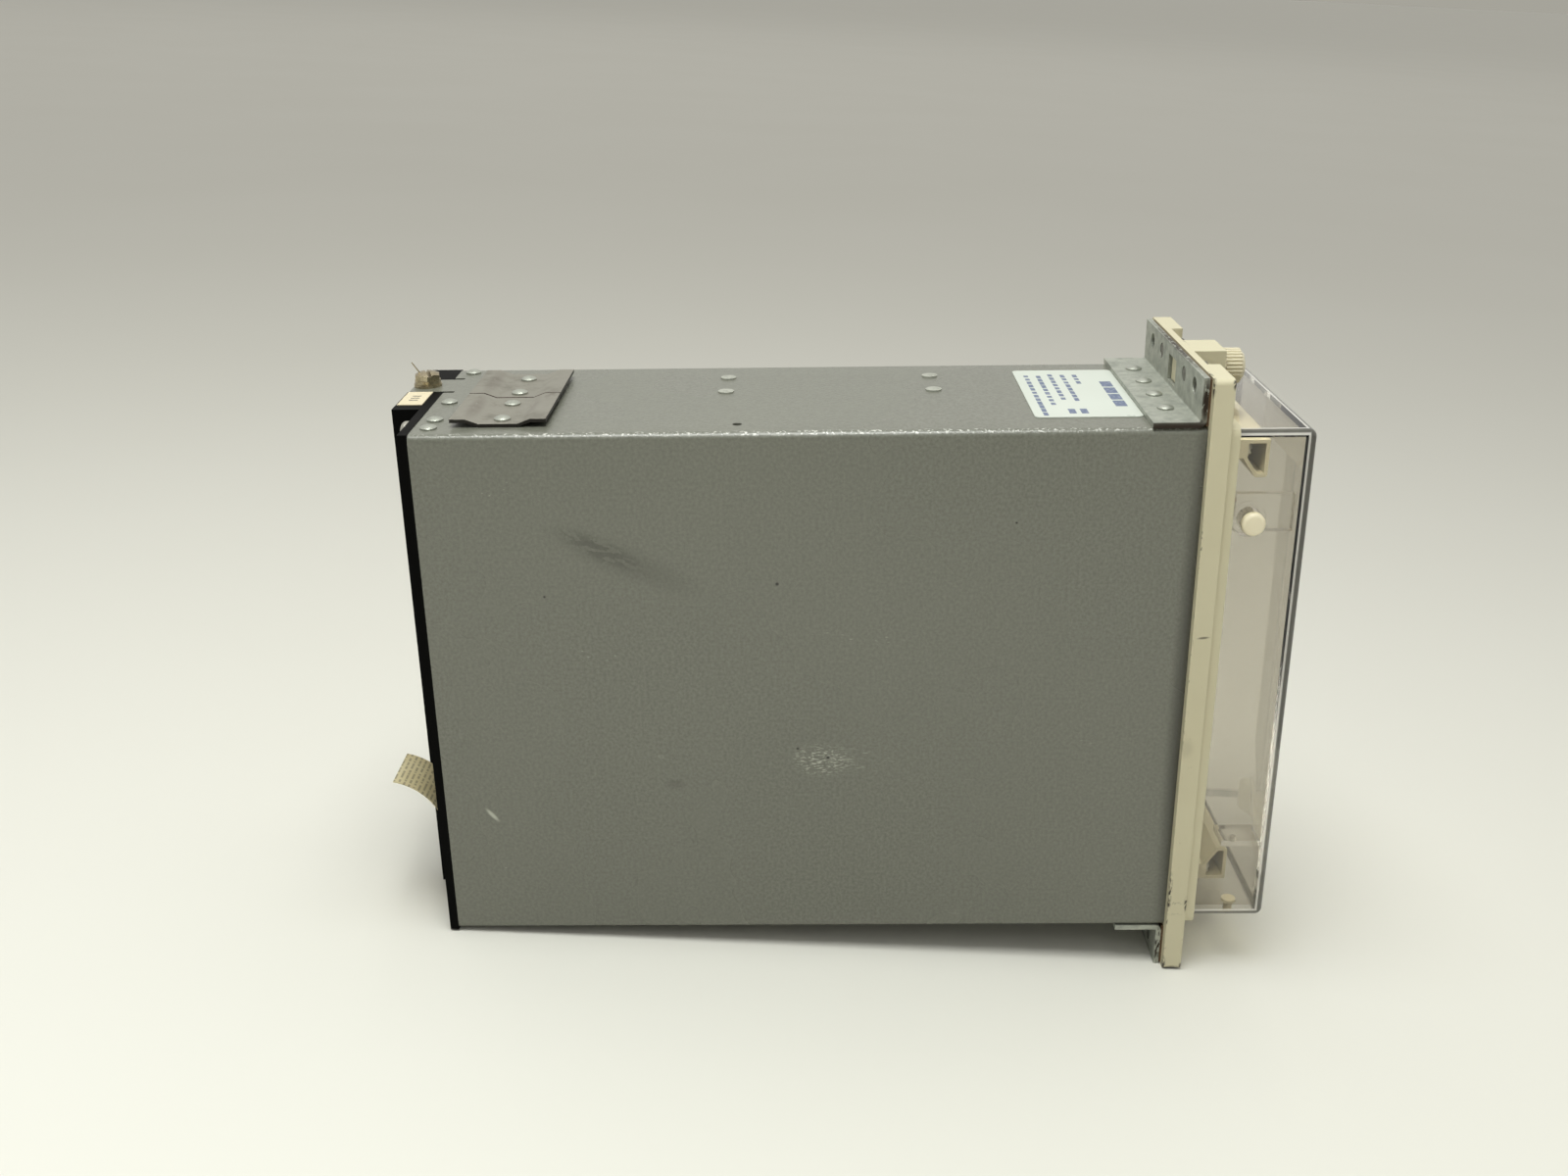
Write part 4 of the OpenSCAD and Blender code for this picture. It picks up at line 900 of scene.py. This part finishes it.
class Repeater:
    """Geometry Nodes tree that sets copies of one thing on a grid in the XY plane."""

    NAME = "repeater"
    INPUTS = {
        "Columns": "NodeSocketInt", "Rows": "NodeSocketInt", "Column pitch": "NodeSocketFloat",
        "Row pitch": "NodeSocketFloat", "Material": "NodeSocketMaterial"}
    MORE: dict[str, str] = {}

    def __init__(self) -> None:
        """Builds the tree."""
        self.tree = bpy.data.node_groups.new(self.NAME, "GeometryNodeTree")
        face = self.tree.interface
        self.sockets = {}
        for name, kind in {**self.INPUTS, **self.MORE}.items():
            self.sockets[name] = face.new_socket(name, in_out="INPUT", socket_type=kind).identifier
        face.new_socket("Geometry", in_out="OUTPUT", socket_type="NodeSocketGeometry")
        given = add(self.tree, "NodeGroupInput").outputs
        sides = {}
        for axis, count, pitch in (("X", "Columns", "Column pitch"), ("Y", "Rows", "Row pitch")):
            steps = add(self.tree, "ShaderNodeMath", {0: given[count], 1: 1.0}, operation="SUBTRACT")
            sides["Size " + axis] = add(
                self.tree, "ShaderNodeMath", {0: steps, 1: given[pitch]}, operation="MULTIPLY")
            sides["Vertices " + axis] = given[count]
        grid = add(self.tree, "GeometryNodeMeshGrid", sides)
        copies = add(self.tree, "GeometryNodeInstanceOnPoints", {"Points": grid, **self.copied(given)})
        solid = add(self.tree, "GeometryNodeRealizeInstances", {"Geometry": copies})
        dressed = add(
            self.tree, "GeometryNodeSetMaterial", {"Geometry": solid, "Material": given["Material"]})
        add(self.tree, "NodeGroupOutput", {0: dressed})

    def copied(self, given: Any) -> dict[str, Value]:
        """Builds what is copied.

        Args:
            given: The tree's own inputs.

        Returns:
            Inputs of the node that sets the copies, such as the thing and its scale.
        """
        raise NotImplementedError

    def lay(self, values: dict[str, Any], finish: Finish, place: Matrix) -> bpy.types.Mesh:
        """Lays out one grid.

        Args:
            values: Values of the tree's inputs by name, with lengths in metres.
            finish: Finish of the copies.
            place: Matrix that carries the grid from the XY plane to its seat.

        Returns:
            A plain mesh of all the copies, in place.
        """
        carrier = staged("grid_carrier", bpy.data.meshes.new("grid_carrier"))
        rows = carrier.modifiers.new("grid", "NODES")
        rows.node_group = self.tree
        for name, value in {**values, "Material": material_of(finish)}.items():
            rows[self.sockets[name]] = value
        mesh = settled(carrier)
        mesh.transform(place)
        return mesh


class PartGrid(Repeater):
    """Tree that repeats one part."""

    NAME = "part_grid"
    MORE = {"Part": "NodeSocketObject"}

    def copied(self, given: Any) -> dict[str, Value]:
        """Takes the part's own mesh."""
        part = add(self.tree, "GeometryNodeObjectInfo", {"Object": given["Part"]}, transform_space="ORIGINAL")
        return {"Instance": part.outputs["Geometry"]}

    def mesh(self, part: bpy.types.Mesh, count: tuple[int, int], pitch_mm: Pair, finish: Finish,
             place: Matrix) -> bpy.types.Mesh:
        """Lays out a grid of parts.

        Args:
            part: Mesh of one part, which is used up.
            count: Columns and rows.
            pitch_mm: Distance between columns and between rows.
            finish: Finish of the parts.
            place: Matrix that carries the grid from the XY plane to its seat.

        Returns:
            A plain mesh of all the parts, in place.
        """
        model = staged("part_model", part)
        values = {"Part": model, "Columns": count[0], "Rows": count[1],
                  "Column pitch": pitch_mm[0] * MM, "Row pitch": pitch_mm[1] * MM}
        mesh = self.lay(values, finish, place)
        bpy.data.objects.remove(model)
        return mesh


@dataclass(frozen=True)
class PrintBlock:
    """Sizes of a block of plain printed marks, in millimetres."""

    marks: int
    rows: int
    mark_pitch: float
    row_pitch: float
    shortest: float
    longest: float
    height: float
    depth: float = 0.03
    seed: int = 1


class PrintRows(Repeater):
    """Tree that lays rows of short, plain ink marks."""

    NAME = "print_rows"
    MORE = {
        "Shortest": "NodeSocketFloat", "Longest": "NodeSocketFloat", "Height": "NodeSocketFloat",
        "Depth": "NodeSocketFloat", "Seed": "NodeSocketInt"}

    def copied(self, given: Any) -> dict[str, Value]:
        """Makes a mark whose length is drawn anew for each copy.

        Args:
            given: The tree's own inputs.

        Returns:
            The mark and its scale.
        """
        length = add(
            self.tree, "FunctionNodeRandomValue",
            {SHORTEST: given["Shortest"], LONGEST: given["Longest"], "Seed": given["Seed"]},
            data_type="FLOAT")
        scale = add(
            self.tree, "ShaderNodeCombineXYZ",
            {"X": length.outputs[DRAWN], "Y": given["Height"], "Z": given["Depth"]})
        return {"Instance": add(self.tree, "GeometryNodeMeshCube", {"Size": (1.0, 1.0, 1.0)}), "Scale": scale}

    def mesh(self, block: PrintBlock, finish: Finish, place: Matrix) -> bpy.types.Mesh:
        """Lays out one block of print.

        Args:
            block: Sizes of the block.
            finish: Ink.
            place: Matrix that carries the block from the XY plane to its label.

        Returns:
            A plain mesh of all the marks, in place.
        """
        values = {
            "Columns": block.marks, "Rows": block.rows, "Column pitch": block.mark_pitch * MM,
            "Row pitch": block.row_pitch * MM, "Shortest": block.shortest * MM, "Longest": block.longest * MM,
            "Height": block.height * MM, "Depth": block.depth * MM, "Seed": block.seed}
        return self.lay(values, finish, place)


def seat(origin: Vector, across: Vector, up: Vector) -> Matrix:
    """Matrix that carries the XY plane to a surface.

    Args:
        origin: Where the plane's origin goes, in metres.
        across: Where its X axis points.
        up: Where its Y axis points.

    Returns:
        The 4x4 matrix.
    """
    out = across.cross(up)
    return Matrix.Translation(origin) @ Matrix((across, up, out)).transposed().to_4x4()


def joined(name: str, meshes: list[bpy.types.Mesh]) -> bpy.types.Mesh:
    """Joins meshes that share one finish.

    Args:
        name: Name of the new mesh.
        meshes: Meshes in place, which are used up.

    Returns:
        One mesh with the first mesh's materials.
    """
    shape = bmesh.new()
    for mesh in meshes:
        shape.from_mesh(mesh)
    whole = bpy.data.meshes.new(name)
    shape.to_mesh(whole)
    shape.free()
    for material in meshes[0].materials:
        whole.materials.append(material)
    for mesh in meshes:
        bpy.data.meshes.remove(mesh)
    return whole


def bar(size: Triple, chamfer: float = 0.0) -> bpy.types.Mesh:
    """Block standing on the XY plane with its upright and top edges chamfered, in millimetres.

    Args:
        size: Length along X, Y and Z.
        chamfer: Width of the chamfer.

    Returns:
        A mesh in metres.
    """
    shape = bmesh.new()
    bmesh.ops.create_cube(shape, size=1.0)
    for vertex in shape.verts:
        vertex.co = metres(vertex.co.x * size[0], vertex.co.y * size[1], (vertex.co.z + 0.5) * size[2])
    if chamfer:
        edges = [e for e in shape.edges if max(v.co.z for v in e.verts) > 0.5 * size[2] * MM]
        bmesh.ops.bevel(shape, geom=edges, offset=chamfer * MM, segments=1, affect="EDGES", profile=0.5)
    mesh = bpy.data.meshes.new("bar")
    shape.to_mesh(mesh)
    shape.free()
    return mesh


def turned(profile: tuple[Pair, ...], steps: int = 12) -> bpy.types.Mesh:
    """Round part about Z from a profile of radius and height, in millimetres.

    Args:
        profile: Points from the bottom to the top, the first and last on the axis or closed by a cap.
        steps: Sides of the part.

    Returns:
        A closed mesh in metres.
    """
    shape = bmesh.new()
    rings = []
    turns = [2 * math.pi * k / steps for k in range(steps)]
    for radius, height in profile:
        around = [metres(radius * math.cos(a), radius * math.sin(a), height) for a in turns]
        rings.append([shape.verts.new(place) for place in around])
    for low, high in zip(rings, rings[1:]):
        for k in range(steps):
            n = (k + 1) % steps
            shape.faces.new((low[k], low[n], high[n], high[k])).smooth = True
    shape.faces.new(list(reversed(rings[0])))
    shape.faces.new(rings[-1])
    mesh = bpy.data.meshes.new("turned")
    shape.to_mesh(mesh)
    shape.free()
    return mesh


def laid_along(mesh: bpy.types.Mesh, turn: Matrix) -> bpy.types.Mesh:
    """Turns a part mesh in place and gives it back."""
    mesh.transform(turn)
    return mesh


RIGHT, UPWARD, REARWARD = Vector((1, 0, 0)), Vector((0, 0, 1)), Vector((0, 1, 0))


@dataclass
class SteelCase:
    """Painted case with its mounting angles, clip plates, rivets and earth terminal."""

    sheet_edge: float = 0.18
    angle_edge: float = 0.14
    clip_edge: float = 0.08
    rivet_edge: float = 0.1
    strand_d: float = 0.4
    strand_mm: tuple[Triple, ...] = (
        (16.6, 213.0, 79.2), (16.6, 213.6, 80.0), (16.6, 214.4, 81.2), (16.6, 215.0, 82.1))

    def build(self) -> None:
        """Stands in softened pieces and adds the loose strand at the earth screw."""
        soften("case_shell", self.sheet_edge, Finishes.PAINT)
        for node in ("top_mounting_angle", "bottom_mounting_angle"):
            soften(node, self.angle_edge, Finishes.GALVANISED)
        for node in ("near_clip_plate", "far_clip_plate"):
            soften(node, self.clip_edge, Finishes.CLIP_STEEL)
        for node in ("angle_rivets", "clip_rivets", "rear_rivets"):
            soften(node, self.rivet_edge, Finishes.RIVET)
        self.strand()

    def strand(self) -> None:
        """Adds the short stiff strand of wire caught under the earth screw."""
        curve = bpy.data.curves.new("earth_strand", "CURVE")
        curve.dimensions = "3D"
        curve.bevel_depth = self.strand_d / 2 * MM
        curve.bevel_resolution = 2
        curve.use_fill_caps = True
        line = curve.splines.new("POLY")
        line.points.add(len(self.strand_mm) - 1)
        for point, place in zip(line.points, self.strand_mm):
            point.co = (*metres(*place), 1.0)
        mesh = settled(staged("earth_strand_scratch", curve))
        piece("earth_strand", mesh, Body.CASE.value, slot_of("earth_screw"), Finishes.NICKEL_BRASS)

    def dress(self) -> None:
        """Gives the remaining CAD nodes their finishes."""
        paint(Finishes.FLUSH_RIVET, "guide_rivets")
        paint(Finishes.SEAL, "frame_seal")
        paint(Finishes.RAIL, "upper_guide_rail", "lower_guide_rail")
        paint(Finishes.GALVANISED, "rear_brackets")
        paint(Finishes.SCREW_TIP, "frame_screws")
        paint(Finishes.ZINC, "blank_plate_screws")
        paint(Finishes.NICKEL_BRASS, "earth_screw", "earth_washers")


@dataclass
class FrontFrame:
    """Cream frame, clear cover, thumb screws and reset button."""

    frame_edge: float = 0.55
    cover_edge: float = 0.3
    button_edge: float = 0.35
    knob_edge: float = 0.12

    def build(self) -> None:
        """Stands in softened pieces for the mouldings."""
        soften("front_frame", self.frame_edge, Finishes.CREAM, segments=3)
        soften("cover", self.cover_edge, Finishes.CLEAR, segments=3)
        soften("reset_button", self.button_edge, Finishes.IVORY, segments=3)
        for node in ("upper_thumb_knob", "lower_thumb_knob"):
            soften(node, self.knob_edge, Finishes.CREAM_KNOB)

    def dress(self) -> None:
        """Gives the remaining CAD nodes their finishes."""
        paint(Finishes.IVORY, "cover_plug")
        paint(Finishes.CLEAR, "button_clip")
        paint(Finishes.FLUSH_RIVET, "button_spring")
        paint(Finishes.ZINC, "upper_thumb_stud", "lower_thumb_stud")


@dataclass
class TerminalEnd:
    """Black terminal block with its terminals and numbers, and the blank plate beside it."""

    block_edge: float = 0.35
    plate_edge: float = 0.4
    digit_mm: float = 1.7
    digit_depth: float = 0.05
    digit_lift: float = 1.6
    rows: int = 14
    row_pitch: float = 9.8

    def build(self) -> None:
        """Stands in softened mouldings and adds the terminal numbers."""
        soften("terminal_block", self.block_edge, Finishes.BLACK)
        soften("rear_blank_plate", self.plate_edge, Finishes.BLACK, segments=3)
        self.numbers()

    def numbers(self) -> None:
        """Prints plain terminal numbers down the middle wall of the block."""
        low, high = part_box("terminal_block")
        middle = (low.x + high.x) / 2
        meshes = []
        for row in range(self.rows):
            height = ((self.rows - 1) / 2 - row) * self.row_pitch * MM
            for column in (0, 1):
                text = bpy.data.curves.new("number", "FONT")
                text.body = str(2 * row + column + 1)
                text.size = self.digit_mm * MM
                text.extrude = self.digit_depth * MM
                text.align_x, text.align_y = "CENTER", "CENTER"
                mesh = settled(staged("number_scratch", text))
                lift = (1 - 2 * column) * self.digit_lift * MM
                mesh.transform(seat(Vector((middle, high.y, height + lift)), -RIGHT, UPWARD))
                meshes.append(mesh)
        piece("terminal_numbers", joined("terminal_numbers", meshes), Body.CASE.value,
              slot_of("terminal_block"), Finishes.PALE_INK)

    def dress(self) -> None:
        """Gives the terminals their finishes."""
        paint(Finishes.BRASS, "terminal_plates")
        paint(Finishes.ZINC, "terminal_washers", "terminal_screws")


@dataclass(frozen=True)
class Patch:
    """Field of equal parts on a board, with the place of its middle in millimetres."""

    name: str
    board: str
    along: float
    height: float
    count: tuple[int, int]

    def near_side(self) -> Matrix:
        """Matrix that carries the XY plane to the patch on the board's near side."""
        near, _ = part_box(self.board)
        return seat(Vector((near.x, self.along * MM, self.height * MM)), -REARWARD, UPWARD)

    def far_side(self) -> Matrix:
        """Matrix that carries the XY plane to the patch on the board's far side."""
        _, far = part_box(self.board)
        return seat(Vector((far.x, self.along * MM, self.height * MM)), REARWARD, UPWARD)


@dataclass
class DrawOutModule:
    """Front plate with handles, boards with their small parts, and the rear plug, in millimetres."""

    handle_edge: float = 0.4
    plate_edge: float = 0.25
    plug_edge: float = 0.5
    relay_edge: float = 0.6
    wound_edge: float = 0.8
    chips: tuple[Patch, ...] = (
        Patch("main_chip", "main_board", 44.0, 30.0, (3, 3)),
        Patch("second_chip", "second_board", 84.0, 12.0, (4, 4)))
    chip_mm: Triple = (19.0, 6.4, 3.3)
    chip_chamfer: float = 0.5
    chip_lift: float = 0.6
    chip_pitch: Pair = (26.0, 14.0)
    leg_mm: Triple = (0.6, 0.5, 3.2)
    leg_pitch: Pair = (2.54, 3.7)
    leg_pairs: int = 7
    resistor_rows: tuple[Patch, ...] = (
        Patch("main_rear", "main_board", 158.0, 6.0, (4, 9)),
        Patch("second_low", "second_board", 84.0, -38.0, (15, 3)))
    resistor_mm: tuple[Pair, ...] = (
        (0.01, -3.3), (1.0, -3.2), (1.2, -2.6), (1.0, -1.8), (1.0, 1.8), (1.2, 2.6), (1.0, 3.2), (0.01, 3.3))
    resistor_lift: float = 1.6
    resistor_pitch: Pair = (6.2, 11.5)
    lead_mm: tuple[Pair, ...] = ((0.3, -4.6), (0.3, 4.6))
    lead_foot_mm: tuple[Pair, ...] = ((0.3, 0.0), (0.3, 1.7))
    lead_foot_aside: float = 4.4
    lead_steps: int = 6
    solder: tuple[Patch, ...] = (
        Patch("front", "main_board", 44.0, 24.0, (16, 12)),
        Patch("rear", "main_board", 128.0, -6.0, (15, 20)))
    joint_mm: tuple[Pair, ...] = ((0.95, 0.0), (0.7, 0.35), (0.35, 0.8), (0.1, 1.1))
    joint_pitch: Pair = (5.08, 5.08)
    joint_steps: int = 8

    def build(self, grid: PartGrid) -> None:
        """Stands in softened mouldings and fills the boards.

        Args:
            grid: Tree that repeats parts.
        """
        for node in ("top_handle", "bottom_handle"):
            soften(node, self.handle_edge, Finishes.CREAM_KNOB, segments=3)
        soften("module_front_plate", self.plate_edge, Finishes.PLATE)
        soften("plug_block", self.plug_edge, Finishes.BLACK)
        soften("output_relays", self.relay_edge, Finishes.RELAY)
        soften("capacitors", self.wound_edge, Finishes.SLEEVE, segments=3)
        soften("transformer_coil", self.wound_edge, Finishes.COIL, segments=3)
        self.packages(grid)
        self.resistors(grid)
        self.joints(grid)

    def packages(self, grid: PartGrid) -> None:
        """Adds chip packages and their legs to both boards.

        Args:
            grid: Tree that repeats parts.
        """
        for patch in self.chips:
            place = patch.near_side()
            chip = bar(self.chip_mm, self.chip_chamfer)
            body = grid.mesh(chip, patch.count, self.chip_pitch, Finishes.PACKAGE, place)
            for vertex in body.vertices:
                vertex.co.x -= self.chip_lift * MM
            piece(patch.name + "_packages", body, Body.MODULE.value, "black_moulding")
            legs = []
            for number in range(self.leg_pairs):
                along = self.leg_pitch[0] * (number - (self.leg_pairs - 1) / 2)
                for side in (-1, 1):
                    aside = metres(along, side * self.leg_pitch[1], 0)
                    legs.append(laid_along(bar(self.leg_mm), Matrix.Translation(aside)))
            shanks = grid.mesh(joined("legs", legs), patch.count, self.chip_pitch, Finishes.ZINC, place)
            piece(patch.name + "_legs", shanks, Body.MODULE.value, "screw_steel")

    def resistors(self, grid: PartGrid) -> None:
        """Adds rows of lacquered resistors with wire leads.

        Args:
            grid: Tree that repeats parts.
        """
        lie = Matrix.Translation(metres(0, 0, self.resistor_lift)) @ Matrix.Rotation(math.pi / 2, 4, "X")
        for patch in self.resistor_rows:
            place = patch.near_side()
            barrel = laid_along(turned(self.resistor_mm), lie)
            bodies = grid.mesh(barrel, patch.count, self.resistor_pitch, Finishes.RESISTOR, place)
            piece(patch.name + "_resistors", bodies, Body.MODULE.value, "relay_case")
            wire = [laid_along(turned(self.lead_mm, self.lead_steps), lie)]
            for side in (-1, 1):
                aside = Matrix.Translation(metres(0, side * self.lead_foot_aside, 0))
                wire.append(laid_along(turned(self.lead_foot_mm, self.lead_steps), aside))
            leads = grid.mesh(joined("leads", wire), patch.count, self.resistor_pitch, Finishes.ZINC, place)
            piece(patch.name + "_leads", leads, Body.MODULE.value, "screw_steel")

    def joints(self, grid: PartGrid) -> None:
        """Adds the solder joints on the far side of the main board.

        Args:
            grid: Tree that repeats parts.
        """
        for patch in self.solder:
            dot = turned(self.joint_mm, self.joint_steps)
            mesh = grid.mesh(dot, patch.count, self.joint_pitch, Finishes.ZINC, patch.far_side())
            piece(patch.name + "_solder_joints", mesh, Body.MODULE.value, "screw_steel")

    def dress(self) -> None:
        """Gives the remaining CAD nodes their finishes."""
        paint(Finishes.BOARD, "main_board", "second_board")
        paint(Finishes.ZINC, "handle_screws", "module_screws")
        paint(Finishes.GALVANISED, "board_brackets")
        paint(Finishes.BRASS, "board_spacers", "plug_contacts")
        paint(Finishes.CORE, "transformer_core")
        paint(Finishes.LENS, "indicator_lamps")


@dataclass
class Labels:
    """Top label, block sticker, front nameplate and the peeled paper label, with plain print."""

    text_lines: tuple[Triple, ...] = (
        (37.5, -23.5, 21.0), (34.0, -14.0, 21.0), (30.5, -7.0, 21.0), (27.0, -9.0, 21.0), (23.5, 9.0, 21.6))
    word_pitch: float = 3.7
    word_mm: Pair = (1.8, 3.3)
    text_height: float = 1.3
    heading: PrintBlock = PrintBlock(4, 1, 7.0, 1.0, 5.8, 6.2, 3.2, seed=2)
    heading_at: Pair = (-1.0, 16.0)
    side_marks: PrintBlock = PrintBlock(1, 2, 1.0, 3.2, 4.6, 4.8, 1.9, seed=9)
    side_marks_at: Pair = (-19.0, 28.5)
    sticker_marks: PrintBlock = PrintBlock(3, 1, 2.2, 1.0, 0.55, 0.75, 2.5, seed=3)
    plate_rows: PrintBlock = PrintBlock(8, 9, 5.2, 4.6, 2.4, 4.8, 1.0, seed=7)
    plate_bars: PrintBlock = PrintBlock(1, 2, 1.0, 56.0, 44.0, 44.1, 0.7, seed=5)

    def build(self, rows: PrintRows) -> None:
        """Prints the labels.

        Args:
            rows: Tree that lays rows of marks.
        """
        self.top_label(rows)
        low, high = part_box("block_sticker")
        spot = Vector(((low.x + high.x) / 2, (low.y + high.y) / 2, high.z))
        digits = rows.mesh(self.sticker_marks, Finishes.DARK_INK, seat(spot, RIGHT, REARWARD))
        piece("block_sticker_print", digits, Body.CASE.value, slot_of("block_sticker"))
        low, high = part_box("nameplate")
        spot = Vector(((low.x + high.x) / 2, low.y, (low.z + high.z) / 2))
        lines = [rows.mesh(block, Finishes.DARK_INK, seat(spot, RIGHT, UPWARD))
                 for block in (self.plate_rows, self.plate_bars)]
        piece("nameplate_print", joined("nameplate_print", lines), Body.MODULE.value, slot_of("nameplate"))

    def top_label(self, rows: PrintRows) -> None:
        """Prints a heading, lines of plain marks and two side marks on the top label.

        Args:
            rows: Tree that lays rows of marks.
        """
        blocks = [(self.heading, self.heading_at), (self.side_marks, self.side_marks_at)]
        for number, (along, start, end) in enumerate(self.text_lines):
            count = max(2, round((end - start) / self.word_pitch))
            line = PrintBlock(count, 1, self.word_pitch, 1.0, *self.word_mm, self.text_height, seed=number)
            blocks.append((line, ((start + end) / 2, along)))
        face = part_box("top_label")[1].z
        marks = []
        for block, (across, along) in blocks:
            spot = Vector((across * MM, along * MM, face))
            marks.append(rows.mesh(block, Finishes.LABEL_INK, seat(spot, RIGHT, REARWARD)))
        piece("top_label_print", joined("top_label_print", marks), Body.CASE.value, slot_of("top_label"))

    def dress(self) -> None:
        """Gives the label stock its finishes."""
        paint(Finishes.FILM, "top_label", "nameplate")
        paint(Finishes.STICKER, "block_sticker")
        paint(Finishes.PAPER, "peeled_label")


@dataclass(frozen=True)
class Lamp:
    """One soft box: its place, target and size in metres, its power in watts and its linear colour."""

    name: str
    place: Triple
    target: Triple
    size: Pair
    watts: float
    colour: Triple

    def hang(self) -> None:
        """Puts the lamp in the scene."""
        light = bpy.data.lights.new(self.name, "AREA")
        light.shape = "RECTANGLE"
        light.size, light.size_y = self.size
        light.energy = self.watts
        light.color = self.colour
        obj = staged(self.name, light)
        obj.location = self.place
        obj.rotation_euler = (Vector(self.target) - Vector(self.place)).to_track_quat("-Z", "Y").to_euler()


@dataclass
class Studio:
    """Pale floor that the relay rests on, soft light from above, and the camera at the photograph's angle."""

    floor_colour: str = "#dfded6"
    floor_cloud: str = "#d3d1c6"
    floor_cloud_mm: float = 300.0
    floor_half: float = 60.0
    rest_front: Pair = (-2.1, -88.5)
    rest_rear: Pair = (200.5, -76.3)
    camera_mm: Triple = (-422.300, 100.278, 186.312)
    camera_right: Triple = (0.01305579, -0.9998188, -0.01385336)
    camera_down: Triple = (-0.37093992, 0.00802308, -0.92862221)
    camera_forward: Triple = (0.92856509, 0.01726266, -0.37076796)
    clip: Pair = (0.01, 200.0)
    focal_px: float = 1583.88
    frame_px: float = 1600.0
    sensor_mm: float = 36.0
    room_dark: float = 0.24
    room_bright: float = 0.66
    room_tint: Triple = (1.0, 0.985, 0.93)
    horizon: float = 0.38
    horizon_tint: Triple = (1.0, 0.972, 0.85)
    lamps: tuple[Lamp, ...] = (
        Lamp("key_softbox", (-0.26, 0.17, 0.95), (-0.75, 0.2, 0), (0.5, 0.6), 9.0, (0.975, 1.0, 0.965)),
        Lamp("strip_light", (-0.33, 0.1, 1.1), (-0.03, 0.1, 0), (0.04, 1.6), 2.6, (0.975, 1.0, 0.965)),
        Lamp("fill_softbox", (-1.1, -0.25, 0.65), (0, 0.1, 0), (1.0, 0.8), 0.6, (1.0, 0.985, 0.955)),
        Lamp("far_softbox", (3.8, 0.2, 3.2), (3.8, 0.2, 0), (6.0, 6.0), 18.0, (1.0, 0.985, 0.95)),
    )

    def build(self) -> None:
        """Makes the floor, the light and the camera."""
        self.floor()
        self.room()
        for lamp in self.lamps:
            lamp.hang()
        self.camera()
        bpy.context.scene.view_settings.view_transform = "Standard"

    def floor(self) -> None:
        """Lays the floor under the frame's lower edge and the rear rivets."""
        rise = (self.rest_rear[1] - self.rest_front[1]) / (self.rest_rear[0] - self.rest_front[0])
        half = self.floor_half
        corners = []
        for x, y in ((-half, -half), (half, -half), (half, half), (-half, half)):
            corners.append((x, y, self.rest_front[1] * MM + rise * (y - self.rest_front[0] * MM)))
        mesh = bpy.data.meshes.new("floor")
        mesh.from_pydata(corners, [], [(0, 1, 2, 3)])
        shader = Shader("pale_matt_paper")
        tone = shader.remap(shader.noise(per_mm(self.floor_cloud_mm), 2.0), 0.3, 0.7, high=0.12)
        paper = shader.blend(tone, self.floor_colour, self.floor_cloud)
        mesh.materials.append(shader.finish(Base_Color=paper, Roughness=0.9))
        staged("floor", mesh)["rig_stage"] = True

    def room(self) -> None:
        """Makes a room that is pale behind the relay and darker on the camera's side."""
        world = bpy.data.worlds.new("studio_room")
        bpy.context.scene.world = world
        world.use_nodes = True
        tree = world.node_tree
        way = add(tree, "ShaderNodeTexCoord").outputs["Generated"]
        axis = add(tree, "ShaderNodeSeparateXYZ", {"Vector": way})
        level = add(
            tree, "ShaderNodeMapRange",
            {"Value": axis.outputs["X"], "From Min": -0.8, "From Max": 0.4, "To Min": self.room_dark,
             "To Max": self.room_bright}, interpolation_type="SMOOTHSTEP")
        seen = add(tree, "ShaderNodeLightPath").outputs["Is Camera Ray"]
        shown = add(
            tree, "ShaderNodeMix", {FACTOR: seen, FIRST: level, SECOND: self.horizon}, data_type="FLOAT")
        tints = {UNDER: (*self.room_tint, 1.0), OVER: (*self.horizon_tint, 1.0)}
        tint = add(tree, "ShaderNodeMix", {FACTOR: seen, **tints}, data_type="RGBA")
        ground = tree.nodes["Background"]
        tree.links.new(tint.outputs[MIXED], ground.inputs["Color"])
        tree.links.new(shown.outputs[0], ground.inputs["Strength"])

    def camera(self) -> None:
        """Sets the camera where the photograph was taken from."""
        data = bpy.data.cameras.new("camera")
        data.sensor_fit = "HORIZONTAL"
        data.sensor_width = self.sensor_mm
        data.lens = self.sensor_mm * self.focal_px / self.frame_px
        data.clip_start, data.clip_end = self.clip
        obj = staged("camera", data)
        axes = Matrix((Vector(self.camera_right), -Vector(self.camera_down), -Vector(self.camera_forward)))
        obj.matrix_world = Matrix.Translation(metres(*self.camera_mm)) @ axes.transposed().to_4x4()
        bpy.context.scene.camera = obj


def write_sizes() -> None:
    boxes = {"cad": CAD_BOX, "visual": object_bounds()}
    {name: [list(low), list(high)] for name, (low, high) in boxes.items()}


def main() -> None:
    """Builds the studio, then builds and dresses the relay."""
    logging.basicConfig(level=logging.INFO, format="%(message)s")
    Studio().build()
    case, front, rear, module, labels = SteelCase(), FrontFrame(), TerminalEnd(), DrawOutModule(), Labels()
    case.build()
    front.build()
    rear.build()
    module.build(PartGrid())
    labels.build(PrintRows())
    for assembly in (case, front, rear, module, labels):
        assembly.dress()
    write_sizes()


if __name__ == "__main__":
    main()
